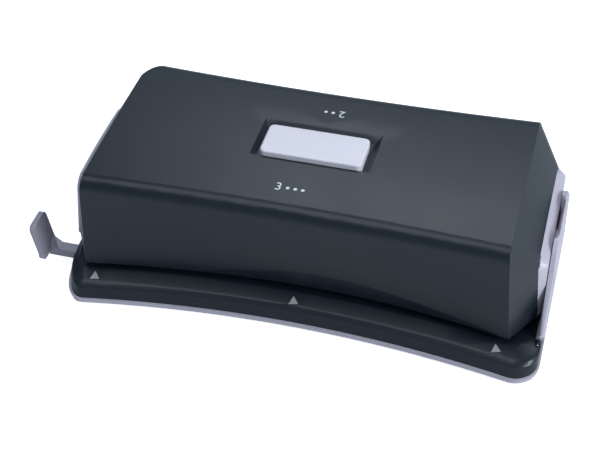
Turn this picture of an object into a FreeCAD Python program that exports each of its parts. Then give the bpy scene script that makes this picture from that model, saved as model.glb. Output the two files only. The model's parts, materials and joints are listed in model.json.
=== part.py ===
import FreeCAD, Part
import math
import os

# Electric hole punch: three holes along the front slot, two along the back slot.
# Frame: +X to the right, +Y to the back, +Z up, origin on the table under the middle.
# All lengths are millimetres.

V = FreeCAD.Vector
os.makedirs("parts", exist_ok=True)

# Paper standards
HOLE_PITCH_FRONT = 107.95
HOLE_PITCH_REAR = 69.85
HOLE_RADIUS = 3.55
HOLE_TO_EDGE = 12.7
SHEET_LENGTH = 279.4
PIN_Y = 28.0

# Heights above the table
FOOT_HEIGHT = 1.5
PAN_HEIGHT = 3.0
PLATFORM_Z = 15.0
SLOT_HEIGHT = 4.4
SHOULDER_Z = 71.0
CROWN_Z = 79.3
SPINE_RISE = 1.0
WALL = 2.2
CUT = 1.0
CLEAR = 0.3
RUN = 0.05
PAN_TOP_Z = FOOT_HEIGHT + PAN_HEIGHT
COVER_Z = PLATFORM_Z + SLOT_HEIGHT
SPINE_TOP_Z = COVER_Z + SPINE_RISE
SPINE_HALF = PIN_Y - HOLE_TO_EDGE

# Top cover: end creases, pinched middle and the smaller arches that the end facets run to
CREASE_IN_LEFT = 11.1
CREASE_IN_RIGHT = 12.0
CREASE_LEAN = 0.07
END_HALF_FOOT = 52.3
END_HALF_SHOULDER = 53.9
MID_HALF_FOOT = 41.7
MID_HALF_SHOULDER = 50.9
SHOULDER_RADIUS = 7.5
REAR_SHOULDER_OUT = 4.6
REAR_SHOULDER_RADIUS = 11.0
ARCH_REAR_OUT = 6.0
ROOF_CORNER_X = 86.8
ROOF_CORNER_Y = 33.8
ROOF_CORNER_RADIUS = 22.0
ROOF_CORNER_SLANT = (-0.7, 0.25, -1.0)
LIP_SCOOP_X = 5.0
LIP_SCOOP_DEPTH = 1.0
LIP_SCOOP_RISE = 13.0
LIP_SCOOP_RADIUS = 518.0
# Each arch: half depth at foot and shoulder, shoulder height, radius, top; its lean is a share
RIGHT_ARCH = (32.6, 37.5, 53.5, 7.0, 61.5)
RIGHT_LEAN = 0.072
LEFT_ARCH = (31.5, 31.5, 51.5, 8.0, 60.6)
LEFT_LEAN = 0.1

# Base: half depth of each level of its outline at the corners, and its two ends
BASE_LEFT = 126.3
BASE_RIGHT = 130.0
LEFT_ARCH_IN = 1.7
RIGHT_ARCH_IN = 4.5
LEFT_ARCH_X = BASE_LEFT - LEFT_ARCH_IN
RIGHT_ARCH_X = BASE_RIGHT - RIGHT_ARCH_IN
BASE_WAIST = 10.4
LEDGE_WAIST = 9.2
BASE_WALL_HALF = 64.2
BASE_BROW_HALF = 62.2
BASE_RIDGE_HALF = 60.4
BASE_LEDGE_HALF = 58.2
PLATFORM_HALF = 51.0
BASE_BROW_Z = 10.4
BASE_RIDGE_Z = 12.0
BASE_LEDGE_Z = 12.9
BASE_CORNER = 13.0
BASE_LEFT_CORNER = 30.0
LEDGE_END_IN = 0.75
PLATFORM_END_IN = 3.0
PLATFORM_CORNER_X = 8.0
PLATFORM_CORNER_Y = 12.0
PLATFORM_LEFT_CORNER = 26.0
ROOF = 2.4
PAN_PROUD = 1.0
ROUND_SHARE = 0.42
FLAT_SHARE = 0.03

# Punch pins and the slotted bars that push them
STROKE = 8.0
PIN_RADIUS = HOLE_RADIUS
PIN_REST_GAP = 0.8
PIN_LENGTH = 34.0
PIN_NOTCH_DEPTH = 1.6
CROSS_PIN_RADIUS = 1.5
CROSS_PIN_Z = 36.5
FRAME_SHEET = 2.0
FRAME_WALL = 1.5
FRAME_DEPTH = 16.0
FRAME_OUTER = 6.0
FRAME_HEIGHT = 24.6
FRAME_LIP = 7.1
FRONT_FRAME_HALF = 116.0
REAR_FRAME_LEFT = 84.0
REAR_FRAME_RIGHT = 60.0
BAR_SHEET = 2.0
BAR_Z = 24.8
BAR_HEIGHT = 15.2
BAR_END = 4.2
BAR_FACE_Y = 23.5
DIE_SHEET = 2.5
DIE_DEPTH = 14.0
DIE_END = 10.0

# Gear train
DRIVE_X = -58.0
RACK_MODULE = 1.0
BAR_PINION_TEETH = 14
DRIVE_GEAR_TEETH = 38
IDLER_PINION_TEETH = 14
FINE_MODULE = 0.8
IDLER_WHEEL_TEETH = 48
MOTOR_PINION_TEETH = 12
MOTOR_DROP = 17.0
RACK_LINE_Z = 48.0
SHAFT_RADIUS = 3.0
IDLER_SHAFT_RADIUS = 2.0
MOTOR_SHAFT_RADIUS = 1.0
PLATE_SHEET = 2.0
PLATE_GAP_HALF = 7.5
MOTOR_RADIUS = 13.8
MOTOR_LENGTH = 24.5
PRESSURE_ANGLE = math.radians(20)
ROOT_SHARE = 1.2
TIP_SHARE = 0.9
THINNING_SHARE = 0.08

# Button
BUTTON_HALF_X = 27.0
BUTTON_HALF_Y = 11.6
BUTTON_TOP_Z = 81.8
BUTTON_TRAVEL = 2.5
BUTTON_CORNER = 3.0

# Paper guide
GUIDE_IN = 8.0
GUIDE_ARM_Y = -39.4
GUIDE_ARM_WIDTH = 6.2
GUIDE_ARM_Z = 7.5
GUIDE_ARM_HEIGHT = 4.8
GUIDE_INNER_END = 84.0

# Fold-down sheet support at the right end
SUPPORT_GAP = 0.4
SUPPORT_THICKNESS = 3.4
SUPPORT_HALF_FOOT = 44.0
SUPPORT_HALF_TOP = 29.0
SUPPORT_TOP_Z = 60.4
HINGE_IN = 1.8
HINGE_X = BASE_RIGHT - HINGE_IN
HINGE_Z = 13.6
HINGE_RADIUS = 1.6
HINGE_PIN_RADIUS = 0.8
HINGE_LUG = 3.0

# Chip drawer
DRAWER_HALF = 32.8
DRAWER_Z = 4.8
DRAWER_HEIGHT = 5.5
DRAWER_WALL = 1.0
DRAWER_LEFT = 116.0


def box(x0, x1, y0, y1, z0, z1):
    """Block between two opposite corners."""
    return Part.makeBox(x1 - x0, y1 - y0, z1 - z0, V(x0, y0, z0))


def rod(radius, start, end):
    """Cylinder from one point to another."""
    way = V(*end) - V(*start)
    return Part.makeCylinder(radius, way.Length, V(*start), way)


def prism(points, way):
    """Straight prism on a closed outline."""
    face = Part.Face(Part.makePolygon([V(*p) for p in points + points[:1]]))
    return face.extrude(V(*way))


def rounded_plate(half_x, half_y, corner, z0, z1):
    """Upright block about the Z axis with round vertical corners."""
    block = box(-half_x, half_x, -half_y, half_y, z0, z1)
    uprights = [e for e in block.Edges if abs(e.tangentAt(e.FirstParameter).z) > 1.0 - FLAT_SHARE]
    return block.makeFillet(corner, uprights)


def save(name, shape):
    """Write one sub-part."""
    shape.exportStep("parts/" + name + ".step")


def arch_wire(x_foot, lean, half_foot, half_shoulder, foot_z, shoulder_z, radius, top_z, side=1.0,
              rear_out=0.0, rear_radius=None):
    """Closed arch across the machine: straight walls, round shoulders and a slightly crowned top."""
    rest = 1.0 - math.sqrt(0.5)

    def at(y, z):
        return V(side * (x_foot - lean * (z - COVER_Z)), y, z)

    edge_z = shoulder_z + radius
    back = half_shoulder + rear_out
    back_radius = rear_radius or radius
    front_knee = rest * radius
    back_knee = rest * back_radius
    crown_front = at(radius - half_shoulder, edge_z)
    crown_back = at(back - back_radius, edge_z)
    back_wall = at(back, edge_z - back_radius)
    edges = [
        Part.makeLine(at(-half_foot, foot_z), at(-half_shoulder, shoulder_z)),
        Part.Arc(at(-half_shoulder, shoulder_z), at(front_knee - half_shoulder, edge_z - front_knee),
                 crown_front).toShape(),
        Part.Arc(crown_front, at(0, top_z), crown_back).toShape(),
        Part.Arc(crown_back, at(back - back_knee, edge_z - back_knee), back_wall).toShape(),
        Part.makeLine(back_wall, at(half_foot, foot_z)),
        Part.makeLine(at(half_foot, foot_z), at(-half_foot, foot_z)),
    ]
    return Part.Wire(edges)


def end_arch(x, lean, arch, inset, side, foot_z=COVER_Z):
    """Arch of a cover end, moved in by an inset."""
    half_foot, half_shoulder, shoulder_z, radius, top_z = arch
    return arch_wire(x, lean, half_foot - inset, half_shoulder - inset, foot_z, shoulder_z,
                     radius - inset, top_z - inset, side, ARCH_REAR_OUT)


def roof_corner(inset):
    """Block outside the slanted round corner at the rear left of the roof."""
    radius = ROOF_CORNER_RADIUS - inset
    knee = radius * math.sqrt(0.5)
    far = 2.0 * ROOF_CORNER_RADIUS
    centre = V(-ROOF_CORNER_X, ROOF_CORNER_Y, CROWN_Z + CUT)
    left = centre + V(-radius, 0, 0)
    back = centre + V(0, radius, 0)
    corners = [back, centre + V(0, far, 0), centre + V(-far, far, 0), centre + V(-far, 0, 0), left]
    edges = [Part.Arc(left, centre + V(-knee, knee, 0), back).toShape()]
    edges += [Part.makeLine(a, b) for a, b in zip(corners, corners[1:])]
    way = V(*ROOF_CORNER_SLANT)
    way.multiply(ROOF_CORNER_RADIUS)
    return Part.Face(Part.Wire(edges)).extrude(way)


def cover_body(inset, drop):
    """Pinched body between the creases with a facet loft at each end, all moved in by an inset."""
    foot_z = COVER_Z - drop
    radius = SHOULDER_RADIUS - inset
    top_z = CROWN_Z - inset
    end = (END_HALF_FOOT - inset, END_HALF_SHOULDER - inset, foot_z, SHOULDER_Z, radius, top_z)
    mid = (MID_HALF_FOOT - inset, MID_HALF_SHOULDER - inset, foot_z, SHOULDER_Z, radius, top_z)
    rear = (REAR_SHOULDER_OUT, REAR_SHOULDER_RADIUS - inset)
    left = arch_wire(LEFT_ARCH_X - CREASE_IN_LEFT, CREASE_LEAN, *end, -1.0, *rear)
    middle = arch_wire(0, 0, *mid, 1.0, *rear)
    right = arch_wire(RIGHT_ARCH_X - CREASE_IN_RIGHT, CREASE_LEAN, *end, 1.0, *rear)
    body = Part.makeLoft([left, middle, right], True, False)
    whole = [body]
    ends = ((left, LEFT_ARCH_X, LEFT_LEAN, LEFT_ARCH, -1.0),
            (right, RIGHT_ARCH_X, RIGHT_LEAN, RIGHT_ARCH, 1.0))
    for crease, x, lean, arch, side in ends:
        tail = end_arch(x, lean, arch, inset, side, foot_z)
        whole.append(Part.makeLoft([crease, tail], True, True))
        if drop:
            run = tail.copy()
            run.translate(V(side * drop, 0, 0))
            whole.append(Part.makeLoft([tail, run], True, True))
    return whole[0].fuse(whole[1:]).cut(roof_corner(inset))


def plan_wire(z, left, right, half, waist, corner_x, corner_y, left_corner_y, share):
    """Closed outline seen from above: bowed long sides, straight ends, longer oval corners at the left."""
    x0 = -left + corner_x
    x1 = right - corner_x
    xm = (x0 + x1) / 2.0
    y1 = half - corner_y
    y0 = half - left_corner_y

    def corner(a, b, c):
        """Arc from a to c that leans towards the sharp corner b."""
        mid = (a + c) * 0.5
        return Part.Arc(a, mid + (b - mid) * share, c).toShape()

    def oval(side, start):
        """Quarter of an ellipse round a left corner."""
        centre = V(x0, side * y0, z)
        whole = Part.Ellipse(centre + V(0, left_corner_y, 0), centre + V(-corner_x, 0, 0), centre)
        return Part.ArcOfEllipse(whole, start, start + math.pi / 2.0).toShape()

    front_right = V(x1, -half, z)
    back_right = V(x1, half, z)
    back_left = V(x0, half, z)
    front_left = V(x0, -half, z)
    edges = [
        Part.Arc(front_left, V(xm, -half + waist, z), front_right).toShape(),
        corner(front_right, V(right, -half, z), V(right, -y1, z)),
        Part.makeLine(V(right, -y1, z), V(right, y1, z)),
        corner(V(right, y1, z), V(right, half, z), back_right),
        Part.Arc(back_right, V(xm, half - waist, z), back_left).toShape(),
        oval(1.0, 0),
        Part.makeLine(V(-left, y0, z), V(-left, -y0, z)),
        oval(-1.0, math.pi / 2.0),
    ]
    return Part.Wire(edges)


def base_level(z, half, end_in=0.0, inset=0.0, waist=BASE_WAIST):
    """Outline of the base at one height, moved in by an inset."""
    return plan_wire(z, BASE_LEFT - end_in - inset, BASE_RIGHT - end_in - inset, half - inset,
                     waist, BASE_CORNER, BASE_CORNER, BASE_LEFT_CORNER, ROUND_SHARE)


def platform_level(z, inset=0.0):
    """Outline of the paper platform with its sharper corners, moved in by an inset."""
    return plan_wire(z, BASE_LEFT - PLATFORM_END_IN - inset, BASE_RIGHT - PLATFORM_END_IN - inset,
                     PLATFORM_HALF - inset, LEDGE_WAIST, PLATFORM_CORNER_X, PLATFORM_CORNER_Y,
                     PLATFORM_LEFT_CORNER, FLAT_SHARE)


def gear(teeth, module, width, bore, tooth_angle):
    """Spur gear along +Y from y = 0; flanks are straight chords of the involute at three radii."""
    pitch = module * teeth / 2.0
    base = pitch * math.cos(PRESSURE_ANGLE)
    radii = (pitch - ROOT_SHARE * module, pitch, pitch + TIP_SHARE * module)
    half_pitch_angle = math.pi / (2.0 * teeth) - THINNING_SHARE * module / pitch

    def half_angle(radius):
        lean = math.acos(min(1.0, base / radius))
        inv_pitch = math.tan(PRESSURE_ANGLE) - PRESSURE_ANGLE
        return half_pitch_angle + inv_pitch - (math.tan(lean) - lean)

    points = []
    for tooth in range(teeth):
        middle = tooth_angle + tooth * 2.0 * math.pi / teeth
        flank = [(r, middle - half_angle(r)) for r in radii]
        flank += [(r, middle + half_angle(r)) for r in reversed(radii)]
        points += [(r * math.cos(a), 0, r * math.sin(a)) for r, a in flank]
    solid = prism(points, (0, width, 0))
    return solid.cut(rod(bore, (0, -CUT, 0), (0, width + CUT, 0)))


def placed(shape, x, y, z):
    """Copy of a shape moved to a place."""
    copy = shape.copy()
    copy.translate(V(x, y, z))
    return copy


# Base housing: a hollow shell with a sloping ledge round the paper platform and a raised spine
outer_levels = [
    base_level(PAN_TOP_Z, BASE_WALL_HALF),
    base_level(BASE_BROW_Z, BASE_BROW_HALF),
    base_level(BASE_RIDGE_Z, BASE_RIDGE_HALF),
    base_level(BASE_LEDGE_Z, BASE_LEDGE_HALF, LEDGE_END_IN, waist=LEDGE_WAIST),
    platform_level(PLATFORM_Z),
]
housing = Part.makeLoft(outer_levels, True, True)
spine_left = LEFT_ARCH_X - CLEAR
spine_right = RIGHT_ARCH_X - CLEAR
base = housing.fuse(box(-spine_left, spine_right, -SPINE_HALF, SPINE_HALF, BASE_LEDGE_Z, SPINE_TOP_Z))
roof_z = PLATFORM_Z - ROOF
inner_levels = [
    base_level(PAN_TOP_Z - CUT, BASE_WALL_HALF, inset=WALL),
    base_level(BASE_BROW_Z - ROOF / 2.0, BASE_BROW_HALF, inset=WALL),
    platform_level(roof_z, WALL),
]
base = base.cut(Part.makeLoft(inner_levels, True, True))
base = base.cut(box(-spine_left + WALL, spine_right - WALL, -SPINE_HALF + WALL, SPINE_HALF - WALL,
                    roof_z - CUT, SPINE_TOP_Z - WALL))

# Channel of the paper guide, under the platform at the front left
CHANNEL_WALL = 1.5
arm_y0 = GUIDE_ARM_Y - CLEAR
arm_y1 = GUIDE_ARM_Y + GUIDE_ARM_WIDTH + CLEAR
arm_z0 = GUIDE_ARM_Z - CLEAR
arm_z1 = GUIDE_ARM_Z + GUIDE_ARM_HEIGHT + CLEAR / 2.0
channel_stop = -GUIDE_INNER_END + GUIDE_IN + CLEAR

# Front and rear die plates, let into the platform, and the chip holes under them
FRONT_PINS = (-HOLE_PITCH_FRONT, 0.0, HOLE_PITCH_FRONT)
REAR_PINS = (-HOLE_PITCH_REAR / 2.0, HOLE_PITCH_REAR / 2.0)
PIN_SIDES = ((FRONT_PINS, -1.0), (REAR_PINS, 1.0))
DIE_HOLE_RADIUS = HOLE_RADIUS + RUN
CHIP_HOLE_GAP = 0.7
CHIP_HOLE_RADIUS = HOLE_RADIUS + CHIP_HOLE_GAP
DIE_SEAT = 1.6
die_bottom_z = PLATFORM_Z - DIE_SHEET


def die_plate(xs, side):
    """Steel strip with one die hole for each pin."""
    y = side * PIN_Y
    half = max(xs) + DIE_END
    strip = box(-half, half, y - DIE_DEPTH / 2.0, y + DIE_DEPTH / 2.0, die_bottom_z, PLATFORM_Z)
    for x in xs:
        strip = strip.cut(rod(DIE_HOLE_RADIUS, (x, y, die_bottom_z - CUT), (x, y, PLATFORM_Z + CUT)))
    return strip


def with_die_seat(shell, xs, side):
    """Base with the pocket for a die plate, the ledge that carries it and the chip holes."""
    y = side * PIN_Y
    half = max(xs) + DIE_END + RUN
    depth = DIE_DEPTH / 2.0 + RUN
    ledge_z = die_bottom_z - DIE_SEAT
    shell = shell.fuse(box(-half - WALL, half + WALL, y - depth - WALL, y + depth + WALL,
                           ledge_z, die_bottom_z + DIE_SEAT))
    shell = shell.cut(box(-half, half, y - depth, y + depth, die_bottom_z, PLATFORM_Z + CUT))
    for x in xs:
        shell = shell.cut(rod(CHIP_HOLE_RADIUS, (x, y, ledge_z - CUT), (x, y, PLATFORM_Z)))
    return shell


base = base.fuse(box(-BASE_LEFT + WALL, channel_stop + CHANNEL_WALL, arm_y0 - CHANNEL_WALL, arm_y1,
                     arm_z0 - CHANNEL_WALL, PLATFORM_Z - CUT))
for xs, side in PIN_SIDES:
    base = with_die_seat(base, xs, side)
save("front_die_plate", die_plate(FRONT_PINS, -1.0))
save("rear_die_plate", die_plate(REAR_PINS, 1.0))
base = base.cut(box(-BASE_LEFT - CUT, channel_stop, arm_y0, arm_y1, arm_z0, arm_z1))

# Mouth of the chip drawer and hinge seat of the sheet support in the right end wall
drawer_top_z = DRAWER_Z + DRAWER_HEIGHT
mouth_half = DRAWER_HALF + CLEAR
base = base.cut(box(BASE_RIGHT - WALL - CUT, BASE_RIGHT + CUT, -mouth_half, mouth_half,
                    PAN_TOP_Z - CUT, drawer_top_z + CLEAR))
hinge_reach = HINGE_RADIUS + CLEAR
hinge_half = SUPPORT_HALF_FOOT + CLEAR
lug_half = hinge_half + HINGE_LUG
base = base.fuse(box(HINGE_X - hinge_reach - WALL, BASE_RIGHT - CUT, -lug_half, lug_half,
                     drawer_top_z + CLEAR, BASE_LEDGE_Z))
base = base.cut(box(HINGE_X - hinge_reach, BASE_RIGHT + CUT, -hinge_half, hinge_half,
                    HINGE_Z - hinge_reach, PLATFORM_Z + CUT))
for side in (-1.0, 1.0):
    lug_y = (side * hinge_half, side * lug_half)
    lug = rod(HINGE_RADIUS, (HINGE_X, lug_y[0], HINGE_Z), (HINGE_X, lug_y[1], HINGE_Z))
    lug = lug.fuse(box(HINGE_X - HINGE_RADIUS, HINGE_X + HINGE_RADIUS, min(lug_y), max(lug_y),
                       HINGE_Z - hinge_reach, HINGE_Z))
    base = base.fuse(lug)
base = base.cut(rod(HINGE_PIN_RADIUS, (HINGE_X, -lug_half, HINGE_Z), (HINGE_X, lug_half, HINGE_Z)))

# Screw holes and posts of the base
SCREW_RADIUS = 1.5
SCREW_HEAD_RADIUS = 2.8
SCREW_HEAD = 2.0
SCREW_GRIP = 9.0
HOUSING_SCREW_X = (-33.0, 58.0)
HOUSING_SCREW_Y = 6.0
PAN_SCREW_X = 110.0
PAN_SCREW_Y = 49.0
PAN_SCREW_WAIST_Y = 44.5
HOUSING_SCREWS = [(x, side * HOUSING_SCREW_Y) for x in HOUSING_SCREW_X for side in (-1.0, 1.0)]
PAN_SCREWS = [(end * PAN_SCREW_X, side * PAN_SCREW_Y) for end in (-1.0, 1.0) for side in (-1.0, 1.0)]
PAN_SCREWS += [(0, -PAN_SCREW_WAIST_Y), (0, PAN_SCREW_WAIST_Y)]
POST_RADIUS = 3.2
spine_under_z = SPINE_TOP_Z - WALL
for x, y in PAN_SCREWS:
    base = base.fuse(rod(POST_RADIUS, (x, y, PAN_TOP_Z), (x, y, BASE_RIDGE_Z)))
    base = base.cut(rod(SCREW_RADIUS, (x, y, PAN_TOP_Z - CUT), (x, y, BASE_BROW_Z)))
for x, y in HOUSING_SCREWS:
    base = base.cut(rod(SCREW_RADIUS + RUN, (x, y, spine_under_z - CUT), (x, y, SPINE_TOP_Z + CUT)))

# Bottom pan: its rim is the bright lip round the foot of the base
PAN_SHEET = 1.4
PAN_RIM = 3.5
pan = Part.makeLoft([base_level(FOOT_HEIGHT, BASE_WALL_HALF, inset=-PAN_PROUD / 2.0),
                     base_level(PAN_TOP_Z, BASE_WALL_HALF, inset=-PAN_PROUD)], True, True)
recess_z = PAN_TOP_Z - PAN_SHEET
recess_levels = [base_level(z, BASE_WALL_HALF, inset=PAN_RIM) for z in (FOOT_HEIGHT - CUT, recess_z)]
pan = pan.cut(Part.makeLoft(recess_levels, True, True))
pan_screws = []
for x, y in PAN_SCREWS:
    pan = pan.fuse(rod(POST_RADIUS + WALL, (x, y, FOOT_HEIGHT + SCREW_HEAD / 4.0), (x, y, recess_z)))
    pan = pan.cut(rod(SCREW_RADIUS + RUN, (x, y, FOOT_HEIGHT), (x, y, PAN_TOP_Z + CUT)))
    head_z = recess_z
    pan = pan.cut(rod(SCREW_HEAD_RADIUS + RUN, (x, y, FOOT_HEIGHT), (x, y, head_z)))
    screw = rod(SCREW_HEAD_RADIUS, (x, y, head_z - SCREW_HEAD / 2.0), (x, y, head_z))
    pan_screws.append(screw.fuse(rod(SCREW_RADIUS, (x, y, head_z), (x, y, BASE_BROW_Z - CUT))))
save("bottom_pan", pan)
save("pan_screws", Part.makeCompound(pan_screws))
FOOT_RADIUS = 6.0
FOOT_X = 96.0
FOOT_IN = 18.2
foot_y = BASE_WALL_HALF - FOOT_IN
FOOT_PLACES = [(end * FOOT_X, side * foot_y) for end in (-1.0, 1.0) for side in (-1.0, 1.0)]
FOOT_PLACES.append((0, 0))
feet = [rod(FOOT_RADIUS, (x, y, 0), (x, y, recess_z)) for x, y in FOOT_PLACES]
save("rubber_feet", Part.makeCompound(feet))

# Punch frames: bent steel with a foot, an inner wall and an upper web that guides the pins
frame_foot_z = SPINE_TOP_Z + FRAME_SHEET
frame_top_z = SPINE_TOP_Z + FRAME_HEIGHT
web_z = frame_top_z - FRAME_SHEET
frame_out_y = PIN_Y + FRAME_OUTER
frame_in_y = frame_out_y - FRAME_DEPTH
frame_wall_y = frame_in_y + FRAME_WALL
RACK_TEETH_BEFORE = 2
RACK_TEETH_AFTER = 5
rack_pitch = math.pi * RACK_MODULE
rack_left = DRIVE_X - RACK_TEETH_BEFORE * rack_pitch
rack_right = DRIVE_X + RACK_TEETH_AFTER * rack_pitch
BAR_SCREW_RADIUS = 2.0
BAR_SCREW_HEAD_RADIUS = 3.2
BAR_SCREW_Z = 32.0
BAR_SCREW_THREAD = 1.5
FRONT_BAR_SCREWS = (-84.0, 60.0)
REAR_BAR_SCREWS = (-72.0, 0.0)
FRAME_SCREW_RADIUS = 1.25
FRAME_SCREW_HEAD_RADIUS = 2.1
FRAME_SCREW_HEAD = 1.6
FRONT_FRAME_SCREWS = (-108.0, -36.0, 36.0, 108.0)
REAR_FRAME_SCREWS = (-78.0, 52.0)
frame_screw_y = SPINE_HALF - FRAME_SCREW_HEAD_RADIUS


def frame(xs, left, right, guide_xs, screw_xs, side):
    """Punch frame of one side of the machine."""
    body = box(left, right, -frame_out_y, -frame_in_y + FRAME_LIP, SPINE_TOP_Z, frame_foot_z)
    body = body.fuse(box(left, right, -frame_wall_y, -frame_in_y, SPINE_TOP_Z, frame_top_z))
    body = body.fuse(box(left, right, -frame_out_y, -frame_in_y, web_z, frame_top_z))
    body = body.cut(box(rack_left - STROKE - CUT, rack_right + CUT, -BAR_FACE_Y - FRAME_WALL,
                        -frame_wall_y, web_z - CUT, frame_top_z + CUT))
    for x in xs:
        body = body.cut(rod(PIN_RADIUS + RUN, (x, -PIN_Y, SPINE_TOP_Z - CUT),
                            (x, -PIN_Y, frame_top_z + CUT)))
    for x in guide_xs:
        body = body.cut(rod(BAR_SCREW_THREAD, (x, -frame_wall_y - CUT, BAR_SCREW_Z),
                            (x, -frame_in_y + CUT, BAR_SCREW_Z)))
    for x in screw_xs:
        body = body.cut(rod(FRAME_SCREW_RADIUS + RUN, (x, -frame_screw_y, SPINE_TOP_Z - CUT),
                            (x, -frame_screw_y, frame_foot_z + CUT)))
    return body if side < 0 else body.mirror(V(0, 0, 0), V(0, 1, 0))


def bar(xs, left, right, guide_xs, side):
    """Cam bar: a slot at 45 degrees for each cross pin, level slots for its screws, a rack on top."""
    y0 = -BAR_FACE_Y
    y1 = y0 + BAR_SHEET
    top_z = BAR_Z + BAR_HEIGHT
    body = box(left, right, y0, y1, BAR_Z, top_z)
    slope = math.tan(PRESSURE_ANGLE)
    foot = rack_pitch / 4.0 + (ROOT_SHARE * slope - THINNING_SHARE) * RACK_MODULE
    tip = rack_pitch / 4.0 - (TIP_SHARE * slope + THINNING_SHARE) * RACK_MODULE
    foot_z = RACK_LINE_Z - ROOT_SHARE * RACK_MODULE
    tip_z = RACK_LINE_Z + TIP_SHARE * RACK_MODULE
    body = body.fuse(box(rack_left, rack_right, y0, y1, top_z - CUT, foot_z))
    for step in range(-RACK_TEETH_BEFORE, RACK_TEETH_AFTER):
        x = DRIVE_X + (step + 0.5) * rack_pitch
        tooth = [(x - foot, y0, foot_z - CUT), (x - foot, y0, foot_z), (x - tip, y0, tip_z),
                 (x + tip, y0, tip_z), (x + foot, y0, foot_z), (x + foot, y0, foot_z - CUT)]
        body = body.fuse(prism(tooth, (0, BAR_SHEET, 0)))
    pin_slot_radius = CROSS_PIN_RADIUS + 2.0 * RUN
    for x in xs:
        body = body.cut(long_slot(x, CROSS_PIN_Z, x + STROKE, CROSS_PIN_Z - STROKE, pin_slot_radius, y0, y1))
    screw_slot_radius = BAR_SCREW_RADIUS + 2.0 * RUN
    for x in guide_xs:
        body = body.cut(long_slot(x, BAR_SCREW_Z, x + STROKE, BAR_SCREW_Z, screw_slot_radius, y0, y1))
    return body if side < 0 else body.mirror(V(0, 0, 0), V(0, 1, 0))


def long_slot(x0, z0, x1, z1, radius, y0, y1):
    """Slot with round ends through a sheet that lies across Y."""
    along = V(x1 - x0, 0, z1 - z0)
    across = V(-along.z, 0, along.x)
    across.multiply(radius / across.Length)
    start = V(x0, y0 - CUT, z0)
    end = V(x1, y0 - CUT, z1)
    through = y1 - y0 + 2.0 * CUT
    corners = [start + across, end + across, end - across, start - across]
    slot = prism([(p.x, p.y, p.z) for p in corners], (0, through, 0))
    for p in (start, end):
        slot = slot.fuse(rod(radius, (p.x, p.y, p.z), (p.x, p.y + through, p.z)))
    return slot


bar_margin = CROSS_PIN_RADIUS + BAR_END
save("front_frame", frame(FRONT_PINS, -FRONT_FRAME_HALF, FRONT_FRAME_HALF, FRONT_BAR_SCREWS,
                          FRONT_FRAME_SCREWS, -1.0))
save("rear_frame", frame(REAR_PINS, -REAR_FRAME_LEFT, REAR_FRAME_RIGHT, REAR_BAR_SCREWS,
                         REAR_FRAME_SCREWS, 1.0))
save("front_cam_bar", bar(FRONT_PINS, FRONT_PINS[0] - bar_margin, FRONT_PINS[-1] + STROKE + bar_margin,
                          FRONT_BAR_SCREWS, -1.0))
save("rear_cam_bar", bar(REAR_PINS, REAR_BAR_SCREWS[0] - bar_margin, REAR_PINS[-1] + STROKE + bar_margin,
                         REAR_BAR_SCREWS, 1.0))


def foot_screw(x, y):
    """Machine screw that holds a steel foot down on the spine."""
    head = rod(FRAME_SCREW_HEAD_RADIUS, (x, y, frame_foot_z), (x, y, frame_foot_z + FRAME_SCREW_HEAD))
    return head.fuse(rod(FRAME_SCREW_RADIUS, (x, y, spine_under_z - CUT), (x, y, frame_foot_z)))


def foot_screw_hole(x, y):
    """Hole in the spine for the same screw."""
    return rod(FRAME_SCREW_RADIUS, (x, y, spine_under_z - WALL), (x, y, SPINE_TOP_Z + CUT))


# Shoulder screws and washers of the cam bars, screws of the frames
bar_screws = []
bar_washers = []
frame_screws = []
WASHER_GAP = 0.2
SCREW_SETS = ((FRONT_BAR_SCREWS, FRONT_FRAME_SCREWS, -1.0), (REAR_BAR_SCREWS, REAR_FRAME_SCREWS, 1.0))
for xs, screws, side in SCREW_SETS:
    face_y = side * (BAR_FACE_Y + WASHER_GAP)
    head_y = face_y + side * SCREW_HEAD
    wall_y = side * frame_wall_y
    for x in xs:
        screw = rod(BAR_SCREW_HEAD_RADIUS, (x, head_y, BAR_SCREW_Z), (x, face_y, BAR_SCREW_Z))
        screw = screw.fuse(rod(BAR_SCREW_RADIUS, (x, face_y, BAR_SCREW_Z), (x, wall_y, BAR_SCREW_Z)))
        screw = screw.fuse(rod(BAR_SCREW_THREAD, (x, wall_y, BAR_SCREW_Z),
                               (x, side * (frame_in_y - CUT / 2.0), BAR_SCREW_Z)))
        bar_screws.append(screw)
        back_y = side * (BAR_FACE_Y - BAR_SHEET - WASHER_GAP)
        washer = rod(BAR_SCREW_HEAD_RADIUS, (x, wall_y, BAR_SCREW_Z), (x, back_y, BAR_SCREW_Z))
        bar_washers.append(washer.cut(rod(BAR_SCREW_RADIUS + RUN, (x, wall_y - side * CUT, BAR_SCREW_Z),
                                          (x, back_y + side * CUT, BAR_SCREW_Z))))
    for x in screws:
        frame_screws.append(foot_screw(x, side * frame_screw_y))
        base = base.cut(foot_screw_hole(x, side * frame_screw_y))
save("bar_shoulder_screws", Part.makeCompound(bar_screws))
save("bar_washers", Part.makeCompound(bar_washers))

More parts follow.
